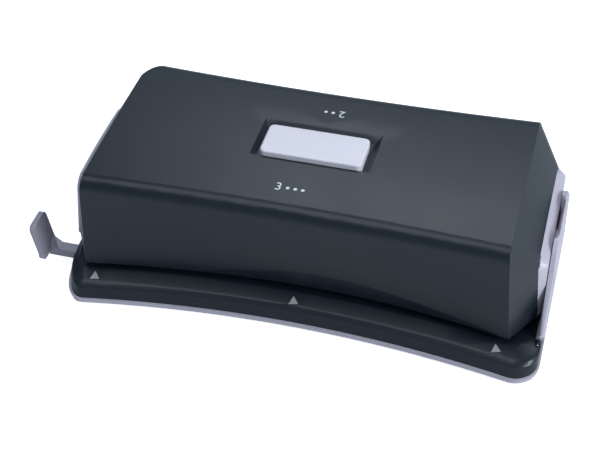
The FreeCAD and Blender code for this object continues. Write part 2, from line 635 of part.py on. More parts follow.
# Punch pins with a roof-shaped notch in the cutting end, and the cross pin through each
pin_foot_z = COVER_Z + PIN_REST_GAP
CROSS_PIN_SHARE = 0.8
SIDE_NAMES = {-1.0: ("left", "middle", "right"), 1.0: ("left", "right")}
for xs, side in PIN_SIDES:
    where = "front" if side < 0 else "rear"
    y = side * PIN_Y
    cut_x = PIN_RADIUS + CUT
    for x, name in zip(xs, SIDE_NAMES[side]):
        pin = rod(PIN_RADIUS, (x, y, pin_foot_z), (x, y, pin_foot_z + PIN_LENGTH))
        notch = [(x - cut_x, y - PIN_RADIUS, pin_foot_z), (x - cut_x, y + PIN_RADIUS, pin_foot_z),
                 (x - cut_x, y, pin_foot_z + PIN_NOTCH_DEPTH)]
        pin = pin.cut(prism(notch, (2.0 * cut_x, 0, 0)))
        far_y = y + side * PIN_RADIUS * CROSS_PIN_SHARE
        near_y = side * (BAR_FACE_Y - BAR_SHEET - 2.0 * WASHER_GAP)
        cross = rod(CROSS_PIN_RADIUS, (x, far_y, CROSS_PIN_Z), (x, near_y, CROSS_PIN_Z))
        save(where + "_punch_pin_" + name, pin.cut(cross))
        save(where + "_cross_pin_" + name, cross)

# Gear plates that stand on the spine, with their feet turned inwards
drive_z = RACK_LINE_Z + RACK_MODULE * BAR_PINION_TEETH / 2.0
idler_x = DRIVE_X - RACK_MODULE * (DRIVE_GEAR_TEETH + IDLER_PINION_TEETH) / 2.0
motor_arm = FINE_MODULE * (IDLER_WHEEL_TEETH + MOTOR_PINION_TEETH) / 2.0
motor_run = math.sqrt(motor_arm ** 2 - MOTOR_DROP ** 2)
motor_x = idler_x - motor_run
motor_z = drive_z - MOTOR_DROP
BUSH_RADIUS = 4.5
IDLER_BUSH_RADIUS = 3.5
BUSH_OVERHANG = 0.6
BOSS_RADIUS = 3.0
BOSS_LENGTH = 1.8
PLATE_MARGIN = 3.4
PLATE_CROWN = 8.0
PLATE_RIGHT = 12.0
PLATE_FOOT = 6.0
MOTOR_SCREW_ARM = 8.0
PLATE_SCREW_LEFT = 24.0
PLATE_SCREW_RIGHT = 6.0
plate_left = motor_x - MOTOR_RADIUS - PLATE_MARGIN
plate_right = DRIVE_X + PLATE_RIGHT
plate_top_z = drive_z + PLATE_CROWN
plate_outer_y = PLATE_GAP_HALF + PLATE_SHEET
plate_corners = [(plate_left, SPINE_TOP_Z), (plate_right, SPINE_TOP_Z), (plate_right, plate_top_z),
                 (idler_x - PLATE_RIGHT, plate_top_z), (plate_left, motor_z + PLATE_RIGHT)]
PLATE_SCREWS = (DRIVE_X - PLATE_SCREW_LEFT, DRIVE_X + PLATE_SCREW_RIGHT)
plate_screw_y = PLATE_GAP_HALF - PLATE_FOOT / 2.0
mesh_angle = math.atan2(-MOTOR_DROP, -motor_run)
arm_x = MOTOR_SCREW_ARM * math.sin(mesh_angle)
arm_z = MOTOR_SCREW_ARM * math.cos(mesh_angle)
motor_screw_places = [(motor_x - arm_x, motor_z + arm_z), (motor_x + arm_x, motor_z - arm_z)]


def gear_plate(side):
    """Plate across Y with bush holes; the front one cradles the motor, the rear one carries its face."""
    y0 = side * PLATE_GAP_HALF
    y1 = side * plate_outer_y
    plate = prism([(x, y0, z) for x, z in plate_corners], (0, y1 - y0, 0))
    foot = sorted((y0, side * (PLATE_GAP_HALF - PLATE_FOOT)))
    plate = plate.fuse(box(plate_left + PLATE_FOOT, plate_right, foot[0], foot[1], SPINE_TOP_Z,
                           SPINE_TOP_Z + PLATE_SHEET))
    low, high = min(y0, y1) - CUT, max(y0, y1) + CUT
    plate = plate.cut(rod(BUSH_RADIUS, (DRIVE_X, low, drive_z), (DRIVE_X, high, drive_z)))
    plate = plate.cut(rod(IDLER_BUSH_RADIUS, (idler_x, low, drive_z), (idler_x, high, drive_z)))
    motor_hole = MOTOR_RADIUS + RUN if side < 0 else BOSS_RADIUS + RUN
    plate = plate.cut(rod(motor_hole, (motor_x, low, motor_z), (motor_x, high, motor_z)))
    if side > 0:
        for x, z in motor_screw_places:
            plate = plate.cut(rod(FRAME_SCREW_RADIUS + RUN, (x, low, z), (x, high, z)))
    y = side * plate_screw_y
    for x in PLATE_SCREWS:
        plate = plate.cut(rod(FRAME_SCREW_RADIUS + RUN, (x, y, SPINE_TOP_Z - CUT),
                              (x, y, frame_foot_z + CUT)))
    return plate


save("front_gear_plate", gear_plate(-1.0))
save("rear_gear_plate", gear_plate(1.0))
for side in (-1.0, 1.0):
    for x in PLATE_SCREWS:
        frame_screws.append(foot_screw(x, side * plate_screw_y))
        base = base.cut(foot_screw_hole(x, side * plate_screw_y))
save("frame_screws", Part.makeCompound(frame_screws))

# Bushes, shafts and gears
bushes = []
SHAFT_SEATS = ((DRIVE_X, SHAFT_RADIUS, BUSH_RADIUS), (idler_x, IDLER_SHAFT_RADIUS, IDLER_BUSH_RADIUS))
for x, inner, outer in SHAFT_SEATS:
    for side in (-1.0, 1.0):
        y0 = side * (PLATE_GAP_HALF - BUSH_OVERHANG)
        y1 = side * (plate_outer_y + BUSH_OVERHANG)
        bush = rod(outer, (x, y0, drive_z), (x, y1, drive_z))
        bushes.append(bush.cut(rod(inner + RUN, (x, y0 - side * CUT, drive_z),
                                   (x, y1 + side * CUT, drive_z))))
save("shaft_bushes", Part.makeCompound(bushes))

GEAR_WIDTH = 7.0
FINE_WIDTH = 5.0
BAR_PINION_WIDTH = 5.0
FINE_GAP = 2.0
SHAFT_END = 0.8
bar_middle_y = BAR_FACE_Y - BAR_SHEET / 2.0
pinion_out_y = bar_middle_y + BAR_PINION_WIDTH / 2.0
fine_y = plate_outer_y + FINE_GAP
shaft_half = pinion_out_y + SHAFT_END
save("drive_shaft", rod(SHAFT_RADIUS, (DRIVE_X, -shaft_half, drive_z), (DRIVE_X, shaft_half, drive_z)))
save("drive_gear", placed(gear(DRIVE_GEAR_TEETH, RACK_MODULE, GEAR_WIDTH, SHAFT_RADIUS, math.pi),
                          DRIVE_X, -GEAR_WIDTH / 2.0, drive_z))
bar_pinion = gear(BAR_PINION_TEETH, RACK_MODULE, BAR_PINION_WIDTH, SHAFT_RADIUS, -math.pi / 2.0)
save("front_bar_pinion", placed(bar_pinion, DRIVE_X, -pinion_out_y, drive_z))
save("rear_bar_pinion", placed(bar_pinion, DRIVE_X, pinion_out_y - BAR_PINION_WIDTH, drive_z))
fine_end_y = fine_y + FINE_WIDTH
save("idler_shaft", rod(IDLER_SHAFT_RADIUS, (idler_x, -plate_outer_y - SHAFT_END, drive_z),
                        (idler_x, fine_end_y + SHAFT_END, drive_z)))
idler_gear = gear(IDLER_PINION_TEETH, RACK_MODULE, GEAR_WIDTH, IDLER_SHAFT_RADIUS,
                  math.pi / IDLER_PINION_TEETH)
save("idler_pinion", placed(idler_gear, idler_x, -GEAR_WIDTH / 2.0, drive_z))
wheel = gear(IDLER_WHEEL_TEETH, FINE_MODULE, FINE_WIDTH, IDLER_SHAFT_RADIUS, mesh_angle)
WEB_HOLES = 6
WEB_HOLE_RADIUS = 3.6
WEB_HOLE_ARM = 10.5
for step in range(WEB_HOLES):
    angle = step * 2.0 * math.pi / WEB_HOLES
    x, z = WEB_HOLE_ARM * math.cos(angle), WEB_HOLE_ARM * math.sin(angle)
    wheel = wheel.cut(rod(WEB_HOLE_RADIUS, (x, -CUT, z), (x, FINE_WIDTH + CUT, z)))
save("idler_wheel", placed(wheel, idler_x, fine_y, drive_z))
pinion_angle = mesh_angle + math.pi + math.pi / MOTOR_PINION_TEETH
motor_gear = gear(MOTOR_PINION_TEETH, FINE_MODULE, FINE_WIDTH, MOTOR_SHAFT_RADIUS, pinion_angle)
save("motor_pinion", placed(motor_gear, motor_x, fine_y, motor_z))

# Motor on the rear gear plate
MOTOR_NECK = 4.0
MOTOR_TAIL_RADIUS = 9.0
MOTOR_TAIL = 1.6
motor_back_y = PLATE_GAP_HALF - MOTOR_LENGTH
shaft_start_y = PLATE_GAP_HALF - MOTOR_NECK
can = rod(MOTOR_RADIUS, (motor_x, motor_back_y + MOTOR_TAIL, motor_z),
          (motor_x, PLATE_GAP_HALF, motor_z))
can = can.fuse(rod(MOTOR_TAIL_RADIUS, (motor_x, motor_back_y, motor_z),
                   (motor_x, PLATE_GAP_HALF, motor_z)))
can = can.fuse(rod(BOSS_RADIUS, (motor_x, PLATE_GAP_HALF - CUT, motor_z),
                   (motor_x, PLATE_GAP_HALF + BOSS_LENGTH, motor_z)))
can = can.cut(rod(MOTOR_SHAFT_RADIUS + RUN, (motor_x, shaft_start_y - CUT, motor_z),
                  (motor_x, plate_outer_y + CUT, motor_z)))
motor_screws = []
for x, z in motor_screw_places:
    can = can.cut(rod(FRAME_SCREW_RADIUS, (x, shaft_start_y, z), (x, PLATE_GAP_HALF + CUT, z)))
    head = rod(FRAME_SCREW_HEAD_RADIUS, (x, plate_outer_y, z), (x, plate_outer_y + FRAME_SCREW_HEAD, z))
    motor_screws.append(head.fuse(rod(FRAME_SCREW_RADIUS, (x, shaft_start_y, z), (x, plate_outer_y, z))))
save("motor", can)
save("motor_shaft", rod(MOTOR_SHAFT_RADIUS, (motor_x, shaft_start_y, motor_z),
                        (motor_x, fine_end_y + SHAFT_END, motor_z)))
save("motor_screws", Part.makeCompound(motor_screws))

# Top cover with the scooped lips, the button opening and the posts under its roof
BUTTON_FLANGE = 1.5
BUTTON_FLANGE_SHEET = 1.3
POCKET_DEPTH = 2.6
POCKET_SIDE = 5.0
POCKET_BACK = 8.5
POCKET_LEDGE = 1.5
BOARD_HALF_X = 28.0
BOARD_HALF_Y = 20.0
BOARD_SHEET = 1.6
BOARD_TOP_Z = 61.6
BOARD_POST_RADIUS = 2.5
BOARD_POST_X = 24.0
BOARD_POST_Y = 17.0
BOARD_POSTS = [(end * BOARD_POST_X, side * BOARD_POST_Y) for end in (-1.0, 1.0) for side in (-1.0, 1.0)]
cover = cover_body(0, 0).cut(cover_body(WALL, CUT))
wall_lean = (MID_HALF_SHOULDER - MID_HALF_FOOT) / (SHOULDER_Z - COVER_Z)
lip_lean = wall_lean + LIP_SCOOP_DEPTH / LIP_SCOOP_RISE
lip_y = MID_HALF_FOOT - LIP_SCOOP_DEPTH + LIP_SCOOP_RADIUS
for side in (-1.0, 1.0):
    low = (LIP_SCOOP_X, side * (lip_y - LIP_SCOOP_RISE * lip_lean), COVER_Z - LIP_SCOOP_RISE)
    high = (LIP_SCOOP_X, side * (lip_y + LIP_SCOOP_RISE * lip_lean), COVER_Z + LIP_SCOOP_RISE)
    disc = Part.Face(Part.Wire(Part.makeCircle(LIP_SCOOP_RADIUS, V(*low), V(0, 0, 1))))
    cover = cover.cut(disc.extrude(V(*high) - V(*low)))
roof_mid_z = CROWN_Z - WALL / 2.0
pocket_floor_z = CROWN_Z - POCKET_DEPTH
pocket_roof_z = pocket_floor_z - WALL
hole_x = BUTTON_HALF_X + CLEAR
hole_y = BUTTON_HALF_Y + CLEAR
pad_x = hole_x + POCKET_SIDE
pad_y = hole_y + POCKET_BACK
cover = cover.fuse(box(-pad_x, pad_x, -pad_y, pad_y, pocket_roof_z, roof_mid_z))
for x, y in HOUSING_SCREWS:
    cover = cover.fuse(rod(POST_RADIUS, (x, y, SPINE_TOP_Z), (x, y, roof_mid_z)))
    cover = cover.cut(rod(SCREW_RADIUS, (x, y, SPINE_TOP_Z - CUT),
                          (x, y, SPINE_TOP_Z + SCREW_GRIP + CUT)))
for x, y in BOARD_POSTS:
    cover = cover.fuse(rod(BOARD_POST_RADIUS, (x, y, BOARD_TOP_Z), (x, y, roof_mid_z)))
    cover = cover.cut(rod(FRAME_SCREW_RADIUS, (x, y, BOARD_TOP_Z - CUT),
                          (x, y, BOARD_TOP_Z + SCREW_GRIP)))


def rectangle(x0, x1, y0, y1, z):
    """Level rectangle."""
    return Part.makePolygon([V(x0, y0, z), V(x1, y0, z), V(x1, y1, z), V(x0, y1, z), V(x0, y0, z)])


# The recess has wide bevels at the sides and the back and runs out at the front
over_z = CROWN_Z + CLEAR
ledge_x = hole_x + POCKET_LEDGE
bevel_floor = rectangle(-ledge_x, ledge_x, -hole_y, hole_y + POCKET_LEDGE, pocket_floor_z)
bevel_top = rectangle(-pad_x, pad_x, -hole_y - CLEAR, pad_y, over_z)
cover = cover.cut(Part.makeLoft([bevel_floor, bevel_top], True, True))
cover = cover.cut(rounded_plate(hole_x, hole_y, BUTTON_CORNER, pocket_roof_z - CUT, over_z))
save("cover", cover)
housing_screws = []
for x, y in HOUSING_SCREWS:
    screw = rod(SCREW_HEAD_RADIUS, (x, y, spine_under_z - SCREW_HEAD), (x, y, spine_under_z))
    housing_screws.append(screw.fuse(rod(SCREW_RADIUS, (x, y, spine_under_z),
                                         (x, y, SPINE_TOP_Z + SCREW_GRIP))))
save("housing_screws", Part.makeCompound(housing_screws))

# Button with its stem, return spring and the switch on the control board
STEM_RADIUS = 2.2
SWITCH_HALF = 3.0
SWITCH_HEIGHT = 3.0
PLUNGER_RADIUS = 1.7
PLUNGER_HEIGHT = 1.2
SWITCH_SLACK = 0.15
SPRING_WIRE = 0.8
SPRING_RADIUS = 6.0
SPRING_TURNS = 5
ARCS_PER_TURN = 4
SPRING_GAP = 0.1
BUTTON_SHEET = 2.0
BUTTON_ROUND = 0.8
flange_top_z = pocket_roof_z - CLEAR
flange_foot_z = flange_top_z - BUTTON_FLANGE_SHEET
plunger_top_z = BOARD_TOP_Z + SWITCH_HEIGHT + PLUNGER_HEIGHT
stem_foot_z = plunger_top_z + SWITCH_SLACK + BUTTON_TRAVEL
button_roof_z = BUTTON_TOP_Z - BUTTON_SHEET
cap = rounded_plate(BUTTON_HALF_X, BUTTON_HALF_Y, BUTTON_CORNER, flange_foot_z, BUTTON_TOP_Z)
top_edges = [e for e in cap.Edges if e.BoundBox.ZMin > BUTTON_TOP_Z - BUTTON_ROUND]
cap = cap.makeFillet(BUTTON_ROUND, top_edges)
flange = rounded_plate(BUTTON_HALF_X + BUTTON_FLANGE, BUTTON_HALF_Y + BUTTON_FLANGE, BUTTON_CORNER,
                       flange_foot_z, flange_top_z)
hollow = rounded_plate(BUTTON_HALF_X - BUTTON_SHEET, BUTTON_HALF_Y - BUTTON_SHEET, BUTTON_CORNER / 2.0,
                       flange_foot_z - CUT, button_roof_z)
button = cap.fuse(flange).cut(hollow)
button = button.fuse(rod(STEM_RADIUS, (0, 0, stem_foot_z), (0, 0, button_roof_z + CUT)))
save("top_button", button)


def coil_path(radius, foot_z, top_z, turns):
    """Coil about the Z axis as short arcs through points of a steady helix."""
    steps = ARCS_PER_TURN * turns
    rise = (top_z - foot_z) / steps

    def at(step):
        angle = step * 2.0 * math.pi / ARCS_PER_TURN
        return V(radius * math.cos(angle), radius * math.sin(angle), foot_z + rise * step)

    return Part.Wire([Part.Arc(at(k), at(k + 0.5), at(k + 1)).toShape() for k in range(steps)])


path = coil_path(SPRING_RADIUS, BOARD_TOP_Z + SPRING_GAP + SPRING_WIRE / 2.0,
                 button_roof_z - SPRING_GAP - SPRING_WIRE / 2.0, SPRING_TURNS)
section = Part.makeCircle(SPRING_WIRE / 2.0, path.Vertexes[0].Point, path.Edges[0].tangentAt(0))
sweep = Part.BRepOffsetAPI.MakePipeShell(path)
sweep.add(Part.Wire(section))
sweep.build()
sweep.makeSolid()
save("button_spring", sweep.shape())

CHIP_HALF = 5.0
CHIP_SHEET = 2.0
CAPACITOR_RADIUS = 4.0
CAPACITOR_HEIGHT = 8.0
PART_X = 15.0
board_foot_z = BOARD_TOP_Z - BOARD_SHEET
board = box(-BOARD_HALF_X, BOARD_HALF_X, -BOARD_HALF_Y, BOARD_HALF_Y, board_foot_z, BOARD_TOP_Z)
board_screws = []
for x, y in BOARD_POSTS:
    board = board.cut(rod(FRAME_SCREW_RADIUS + RUN, (x, y, board_foot_z - CUT),
                          (x, y, BOARD_TOP_Z + CUT)))
    head = rod(FRAME_SCREW_HEAD_RADIUS, (x, y, board_foot_z - FRAME_SCREW_HEAD), (x, y, board_foot_z))
    board_screws.append(head.fuse(rod(FRAME_SCREW_RADIUS, (x, y, board_foot_z),
                                      (x, y, BOARD_TOP_Z + SCREW_GRIP / 2.0))))
save("control_board", board)
save("board_screws", Part.makeCompound(board_screws))
switch = box(-SWITCH_HALF, SWITCH_HALF, -SWITCH_HALF, SWITCH_HALF,
             BOARD_TOP_Z, BOARD_TOP_Z + SWITCH_HEIGHT)
save("button_switch", switch.fuse(rod(PLUNGER_RADIUS, (0, 0, BOARD_TOP_Z), (0, 0, plunger_top_z))))
driver = box(PART_X - CHIP_HALF, PART_X + CHIP_HALF, -CHIP_HALF, CHIP_HALF,
             board_foot_z - CHIP_SHEET, board_foot_z)
capacitor = rod(CAPACITOR_RADIUS, (-PART_X, 0, board_foot_z - CAPACITOR_HEIGHT),
                (-PART_X, 0, board_foot_z))
save("board_components", Part.makeCompound([driver, capacitor]))

# End panels: a thin one with the power jack at the left, a thick one with the battery opening at the right
PANEL_GAP = 0.2
PANEL_FACE_IN = 2.7
PANEL_FACE_X = BASE_RIGHT - PANEL_FACE_IN
PANEL_BEVEL = 4.0
LEFT_PANEL_SHEET = 1.6
LEFT_PANEL_ROUND = 1.2
PLUG_SHEET = 1.5
PLUG_REACH = 4.0


def panel_plug(x, lean, arch, side):
    """Rim of a panel that fits inside the cover's end."""
    rim = WALL + PANEL_GAP / 2.0
    bore = rim + PLUG_SHEET
    outer = [end_arch(x - PLUG_REACH, lean, arch, rim, side), end_arch(x, lean, arch, rim, side)]
    inner = [end_arch(x - PLUG_REACH - CUT, lean, arch, bore, side, COVER_Z - CUT),
             end_arch(x + CUT, lean, arch, bore, side, COVER_Z - CUT)]
    return Part.makeLoft(outer, True, True).cut(Part.makeLoft(inner, True, True))


left_face_x = LEFT_ARCH_X + LEFT_PANEL_SHEET
left_panel = Part.makeLoft([end_arch(LEFT_ARCH_X, LEFT_LEAN, LEFT_ARCH, PANEL_GAP, -1.0),
                            end_arch(left_face_x, LEFT_LEAN, LEFT_ARCH, LEFT_PANEL_ROUND, -1.0)],
                           True, True)
left_panel = left_panel.fuse(panel_plug(LEFT_ARCH_X, LEFT_LEAN, LEFT_ARCH, -1.0))
JACK_Y = 21.0
JACK_Z = 33.0
JACK_RADIUS = 4.4
JACK_BORE = 2.9
JACK_DEPTH = 9.0
JACK_HALF = 5.2
JACK_LENGTH = 13.0
JACK_FACE = 0.4
JACK_PIN_RADIUS = 0.8
jack_x = LEFT_LEAN * (JACK_Z - COVER_Z) - LEFT_ARCH_X
jack_out_x = jack_x - LEFT_PANEL_SHEET - JACK_FACE
jack_back_x = jack_x + LEFT_LEAN * JACK_HALF
jack_axis = (JACK_Y, JACK_Z)
left_panel = left_panel.cut(rod(JACK_RADIUS + RUN, (jack_out_x - CUT, *jack_axis),
                                (jack_back_x + CUT, *jack_axis)))
save("left_end_panel", left_panel)
jack = rod(JACK_RADIUS, (jack_out_x, *jack_axis), (jack_back_x + CUT, *jack_axis))
jack = jack.fuse(box(jack_back_x, jack_back_x + JACK_LENGTH, JACK_Y - JACK_HALF, JACK_Y + JACK_HALF,
                     JACK_Z - JACK_HALF, JACK_Z + JACK_HALF))
jack = jack.cut(rod(JACK_BORE, (jack_out_x - CUT, *jack_axis), (jack_out_x + JACK_DEPTH, *jack_axis)))
jack = jack.fuse(rod(JACK_PIN_RADIUS, (jack_out_x + CUT, *jack_axis),
                     (jack_out_x + JACK_DEPTH + CUT, *jack_axis)))
save("power_jack", jack)

# Battery tray behind the right panel, its cells and contacts
CELL_RADIUS = 7.15
CELL_BODY = 49.5
CELL_NUB = 1.0
CELL_NUB_RADIUS = 2.7
CELL_PITCH = 14.45
CELL_COLUMNS = 3
CELL_ROWS = 2
TRAY_WALL = 1.5
TRAY_Y = -17.3
TRAY_X = 64.0
TRAY_FOOT = 18.0
MOUTH_GAP = 2.4
CONTACT_SHEET = 0.5
CONTACT_WIDTH = 11.0
SPRING_PAD = 1.5
SPRING_PAD_RADIUS = 3.4
tray_in_y = TRAY_Y + TRAY_WALL
tray_out_y = tray_in_y + CELL_COLUMNS * CELL_PITCH
tray_in_z = frame_foot_z + TRAY_WALL
tray_out_z = tray_in_z + CELL_ROWS * CELL_PITCH
contact_x = TRAY_X + TRAY_WALL
cell_x = contact_x + CONTACT_SHEET + SPRING_PAD
cell_end_x = cell_x + CELL_BODY + CELL_NUB
mouth_x = cell_end_x + MOUTH_GAP
tray = box(TRAY_X, mouth_x, TRAY_Y, tray_out_y + TRAY_WALL, frame_foot_z, tray_out_z + TRAY_WALL)
tray = tray.cut(box(contact_x, mouth_x + CUT, tray_in_y, tray_out_y, tray_in_z, tray_out_z))
for x in (TRAY_X, mouth_x - TRAY_FOOT):
    tray = tray.fuse(box(x, x + TRAY_FOOT, 0, SPINE_HALF - CUT, SPINE_TOP_Z, frame_foot_z))
for x in FRONT_FRAME_SCREWS:
    tray = tray.cut(rod(FRAME_SCREW_HEAD_RADIUS + CLEAR, (x, -frame_screw_y, frame_foot_z - CUT),
                        (x, -frame_screw_y, tray_in_z + CUT)))
save("battery_tray", tray)
contacts = []
cells = []
low_z = tray_in_z + CELL_PITCH / 2.0
high_z = low_z + CELL_PITCH * (CELL_ROWS - 1)
half_width = CONTACT_WIDTH / 2.0
first_y = tray_in_y + CELL_PITCH / 2.0
column_ys = [first_y + column * CELL_PITCH for column in range(CELL_COLUMNS)]
for y in column_ys:
    for x in (contact_x, cell_end_x):
        contacts.append(box(x, x + CONTACT_SHEET, y - half_width, y + half_width,
                            low_z - half_width, high_z + half_width))
    for z in (low_z, high_z):
        contacts[-2] = contacts[-2].fuse(rod(SPRING_PAD_RADIUS, (contact_x, y, z), (cell_x, y, z)))
        cell = rod(CELL_RADIUS, (cell_x, y, z), (cell_x + CELL_BODY, y, z))
        cells.append(cell.fuse(rod(CELL_NUB_RADIUS, (cell_x + CELL_BODY - CUT, y, z), (cell_end_x, y, z))))
save("battery_cells", Part.makeCompound(cells))
save("battery_contacts", Part.makeCompound(contacts))

right_panel = Part.makeLoft([end_arch(RIGHT_ARCH_X, RIGHT_LEAN, RIGHT_ARCH, PANEL_GAP, 1.0),
                             end_arch(PANEL_FACE_X, 0, RIGHT_ARCH, PANEL_BEVEL, 1.0)], True, True)
right_panel = right_panel.fuse(panel_plug(RIGHT_ARCH_X, RIGHT_LEAN, RIGHT_ARCH, 1.0))
right_panel = right_panel.cut(box(mouth_x + CUT, PANEL_FACE_X + CUT, tray_in_y, tray_out_y,
                                  tray_in_z, tray_out_z))
save("right_end_panel", right_panel)
LID_SHEET = 2.0
LID_RIB_HALF = 2.5
lid_x = PANEL_FACE_X - LID_SHEET
lid = box(lid_x, PANEL_FACE_X, tray_in_y + PANEL_GAP, tray_out_y - PANEL_GAP, tray_in_z + PANEL_GAP,
          tray_out_z - PANEL_GAP)
for y in column_ys:
    lid = lid.fuse(box(cell_end_x + CONTACT_SHEET, lid_x, y - LID_RIB_HALF, y + LID_RIB_HALF,
                       tray_in_z + WALL, tray_out_z - WALL))
save("battery_lid", lid)

# Fold-down sheet support with its hinge pin
SUPPORT_FOOT_Z = 16.0
SUPPORT_CORNER = 13.0
SUPPORT_ROUND = 1.0
SUPPORT_WEB = 1.6
GRIP_HALF = 10.0
GRIP_DEPTH = 2.0
GRIP_DROP = 8.0
support_x = PANEL_FACE_X + SUPPORT_GAP
support_out_x = support_x + SUPPORT_THICKNESS
barrel_half = SUPPORT_HALF_FOOT - CLEAR


def support_wire(x, inset):
    """Outline of the support: tapered sides and rounded top corners."""
    foot = SUPPORT_HALF_FOOT - inset
    top = SUPPORT_HALF_TOP - inset
    top_z = SUPPORT_TOP_Z - inset
    bend_z = SUPPORT_TOP_Z - SUPPORT_CORNER
    level = top - SUPPORT_CORNER
    knee = SUPPORT_CORNER * (1.0 - math.sqrt(0.5))
    edges = [
        Part.makeLine(V(x, -foot, SUPPORT_FOOT_Z), V(x, -top, bend_z)),
        Part.Arc(V(x, -top, bend_z), V(x, knee - top, top_z - knee), V(x, -level, top_z)).toShape(),
        Part.makeLine(V(x, -level, top_z), V(x, level, top_z)),
        Part.Arc(V(x, level, top_z), V(x, top - knee, top_z - knee), V(x, top, bend_z)).toShape(),
        Part.makeLine(V(x, top, bend_z), V(x, foot, SUPPORT_FOOT_Z)),
        Part.makeLine(V(x, foot, SUPPORT_FOOT_Z), V(x, -foot, SUPPORT_FOOT_Z)),
    ]
    return Part.Wire(edges)


support = Part.makeLoft([support_wire(support_x, 0), support_wire(support_out_x - SUPPORT_ROUND, 0),
                         support_wire(support_out_x, SUPPORT_ROUND)], True, True)
support = support.fuse(rod(HINGE_RADIUS, (HINGE_X, -barrel_half, HINGE_Z), (HINGE_X, barrel_half, HINGE_Z)))
support = support.fuse(box(support_x, support_x + SUPPORT_WEB, -barrel_half, barrel_half, HINGE_Z,
                           SUPPORT_FOOT_Z + CUT))
support = support.cut(rod(HINGE_PIN_RADIUS + RUN, (HINGE_X, -barrel_half - CUT, HINGE_Z),
                          (HINGE_X, barrel_half + CUT, HINGE_Z)))
grip_x = support_x + GRIP_DEPTH
grip_foot_z = SUPPORT_TOP_Z - GRIP_DROP
grip_outline = [(support_x - CUT, SUPPORT_TOP_Z + CUT), (grip_x, SUPPORT_TOP_Z + CUT),
                (grip_x, SUPPORT_TOP_Z), (support_x, grip_foot_z), (support_x - CUT, grip_foot_z)]
grip = prism([(x, -GRIP_HALF, z) for x, z in grip_outline], (0, 2.0 * GRIP_HALF, 0))
save("sheet_support", support.cut(grip))
save("support_hinge_pin", rod(HINGE_PIN_RADIUS, (HINGE_X, -lug_half, HINGE_Z), (HINGE_X, lug_half, HINGE_Z)))

# Paper guide: arm that slides in the base and a stop plate at the sheet's edge
STOP_SHEET = 2.8
STOP_Y = -49.0
STOP_DEPTH = 16.0
STOP_Z = 11.0
STOP_BEND_Z = 16.0
STOP_TOP_Z = 35.0
STOP_LEAN = 2.6
STOP_LEAN_Y = 1.0
STOP_ROUND = 3.0
STOP_NECK = 4.5
stop_x = -SHEET_LENGTH / 2.0
stop_out_x = stop_x - STOP_SHEET
arm_top_z = GUIDE_ARM_Z + GUIDE_ARM_HEIGHT
stop_mid_x = stop_x - STOP_SHEET / 2.0
arm = box(stop_mid_x, -GUIDE_INNER_END, GUIDE_ARM_Y, GUIDE_ARM_Y + GUIDE_ARM_WIDTH, GUIDE_ARM_Z, arm_top_z)


def stop_level(shift_x, shift_y, z):
    """Outline of the stop plate at one height."""
    y = STOP_Y - shift_y
    return rectangle(stop_out_x - shift_x, stop_x - shift_x, y, y + STOP_DEPTH, z)


stop = Part.makeLoft([stop_level(0, 0, STOP_Z), stop_level(0, 0, STOP_BEND_Z),
                      stop_level(STOP_LEAN, STOP_LEAN_Y, STOP_TOP_Z)], True, True)
short_edges = [e for e in stop.Edges if max(e.BoundBox.YLength, e.BoundBox.ZLength) < STOP_SHEET / 2.0]
corner_edges = [e for e in short_edges if not STOP_Z + CUT < e.BoundBox.ZMin < STOP_TOP_Z - CUT]
stop = stop.makeFillet(STOP_ROUND, corner_edges)
neck_x = stop_x + STOP_NECK
neck_outline = [(stop_mid_x, GUIDE_ARM_Z), (stop_mid_x, STOP_BEND_Z), (stop_x, STOP_BEND_Z),
                (neck_x, arm_top_z), (neck_x, GUIDE_ARM_Z)]
neck = prism([(x, GUIDE_ARM_Y, z) for x, z in neck_outline], (0, GUIDE_ARM_WIDTH, 0))
save("paper_guide", arm.fuse(stop).fuse(neck))

# Chip drawer that slides out of the right end
DRAWER_FACE = 2.0
PULL_HALF = 10.0
PULL_DEPTH = 1.2
face_x = BASE_RIGHT - DRAWER_FACE
drawer = box(-DRAWER_LEFT, BASE_RIGHT, -DRAWER_HALF, DRAWER_HALF, DRAWER_Z, drawer_top_z)
drawer_in_half = DRAWER_HALF - DRAWER_WALL
drawer = drawer.cut(box(-DRAWER_LEFT + DRAWER_WALL, face_x, -drawer_in_half, drawer_in_half,
                        DRAWER_Z + DRAWER_WALL, drawer_top_z + CUT))
drawer = drawer.cut(box(BASE_RIGHT - PULL_DEPTH, BASE_RIGHT + CUT, -PULL_HALF, PULL_HALF,
                        DRAWER_Z + DRAWER_HEIGHT / 3.0, drawer_top_z - DRAWER_WALL))
save("chip_drawer", drawer)

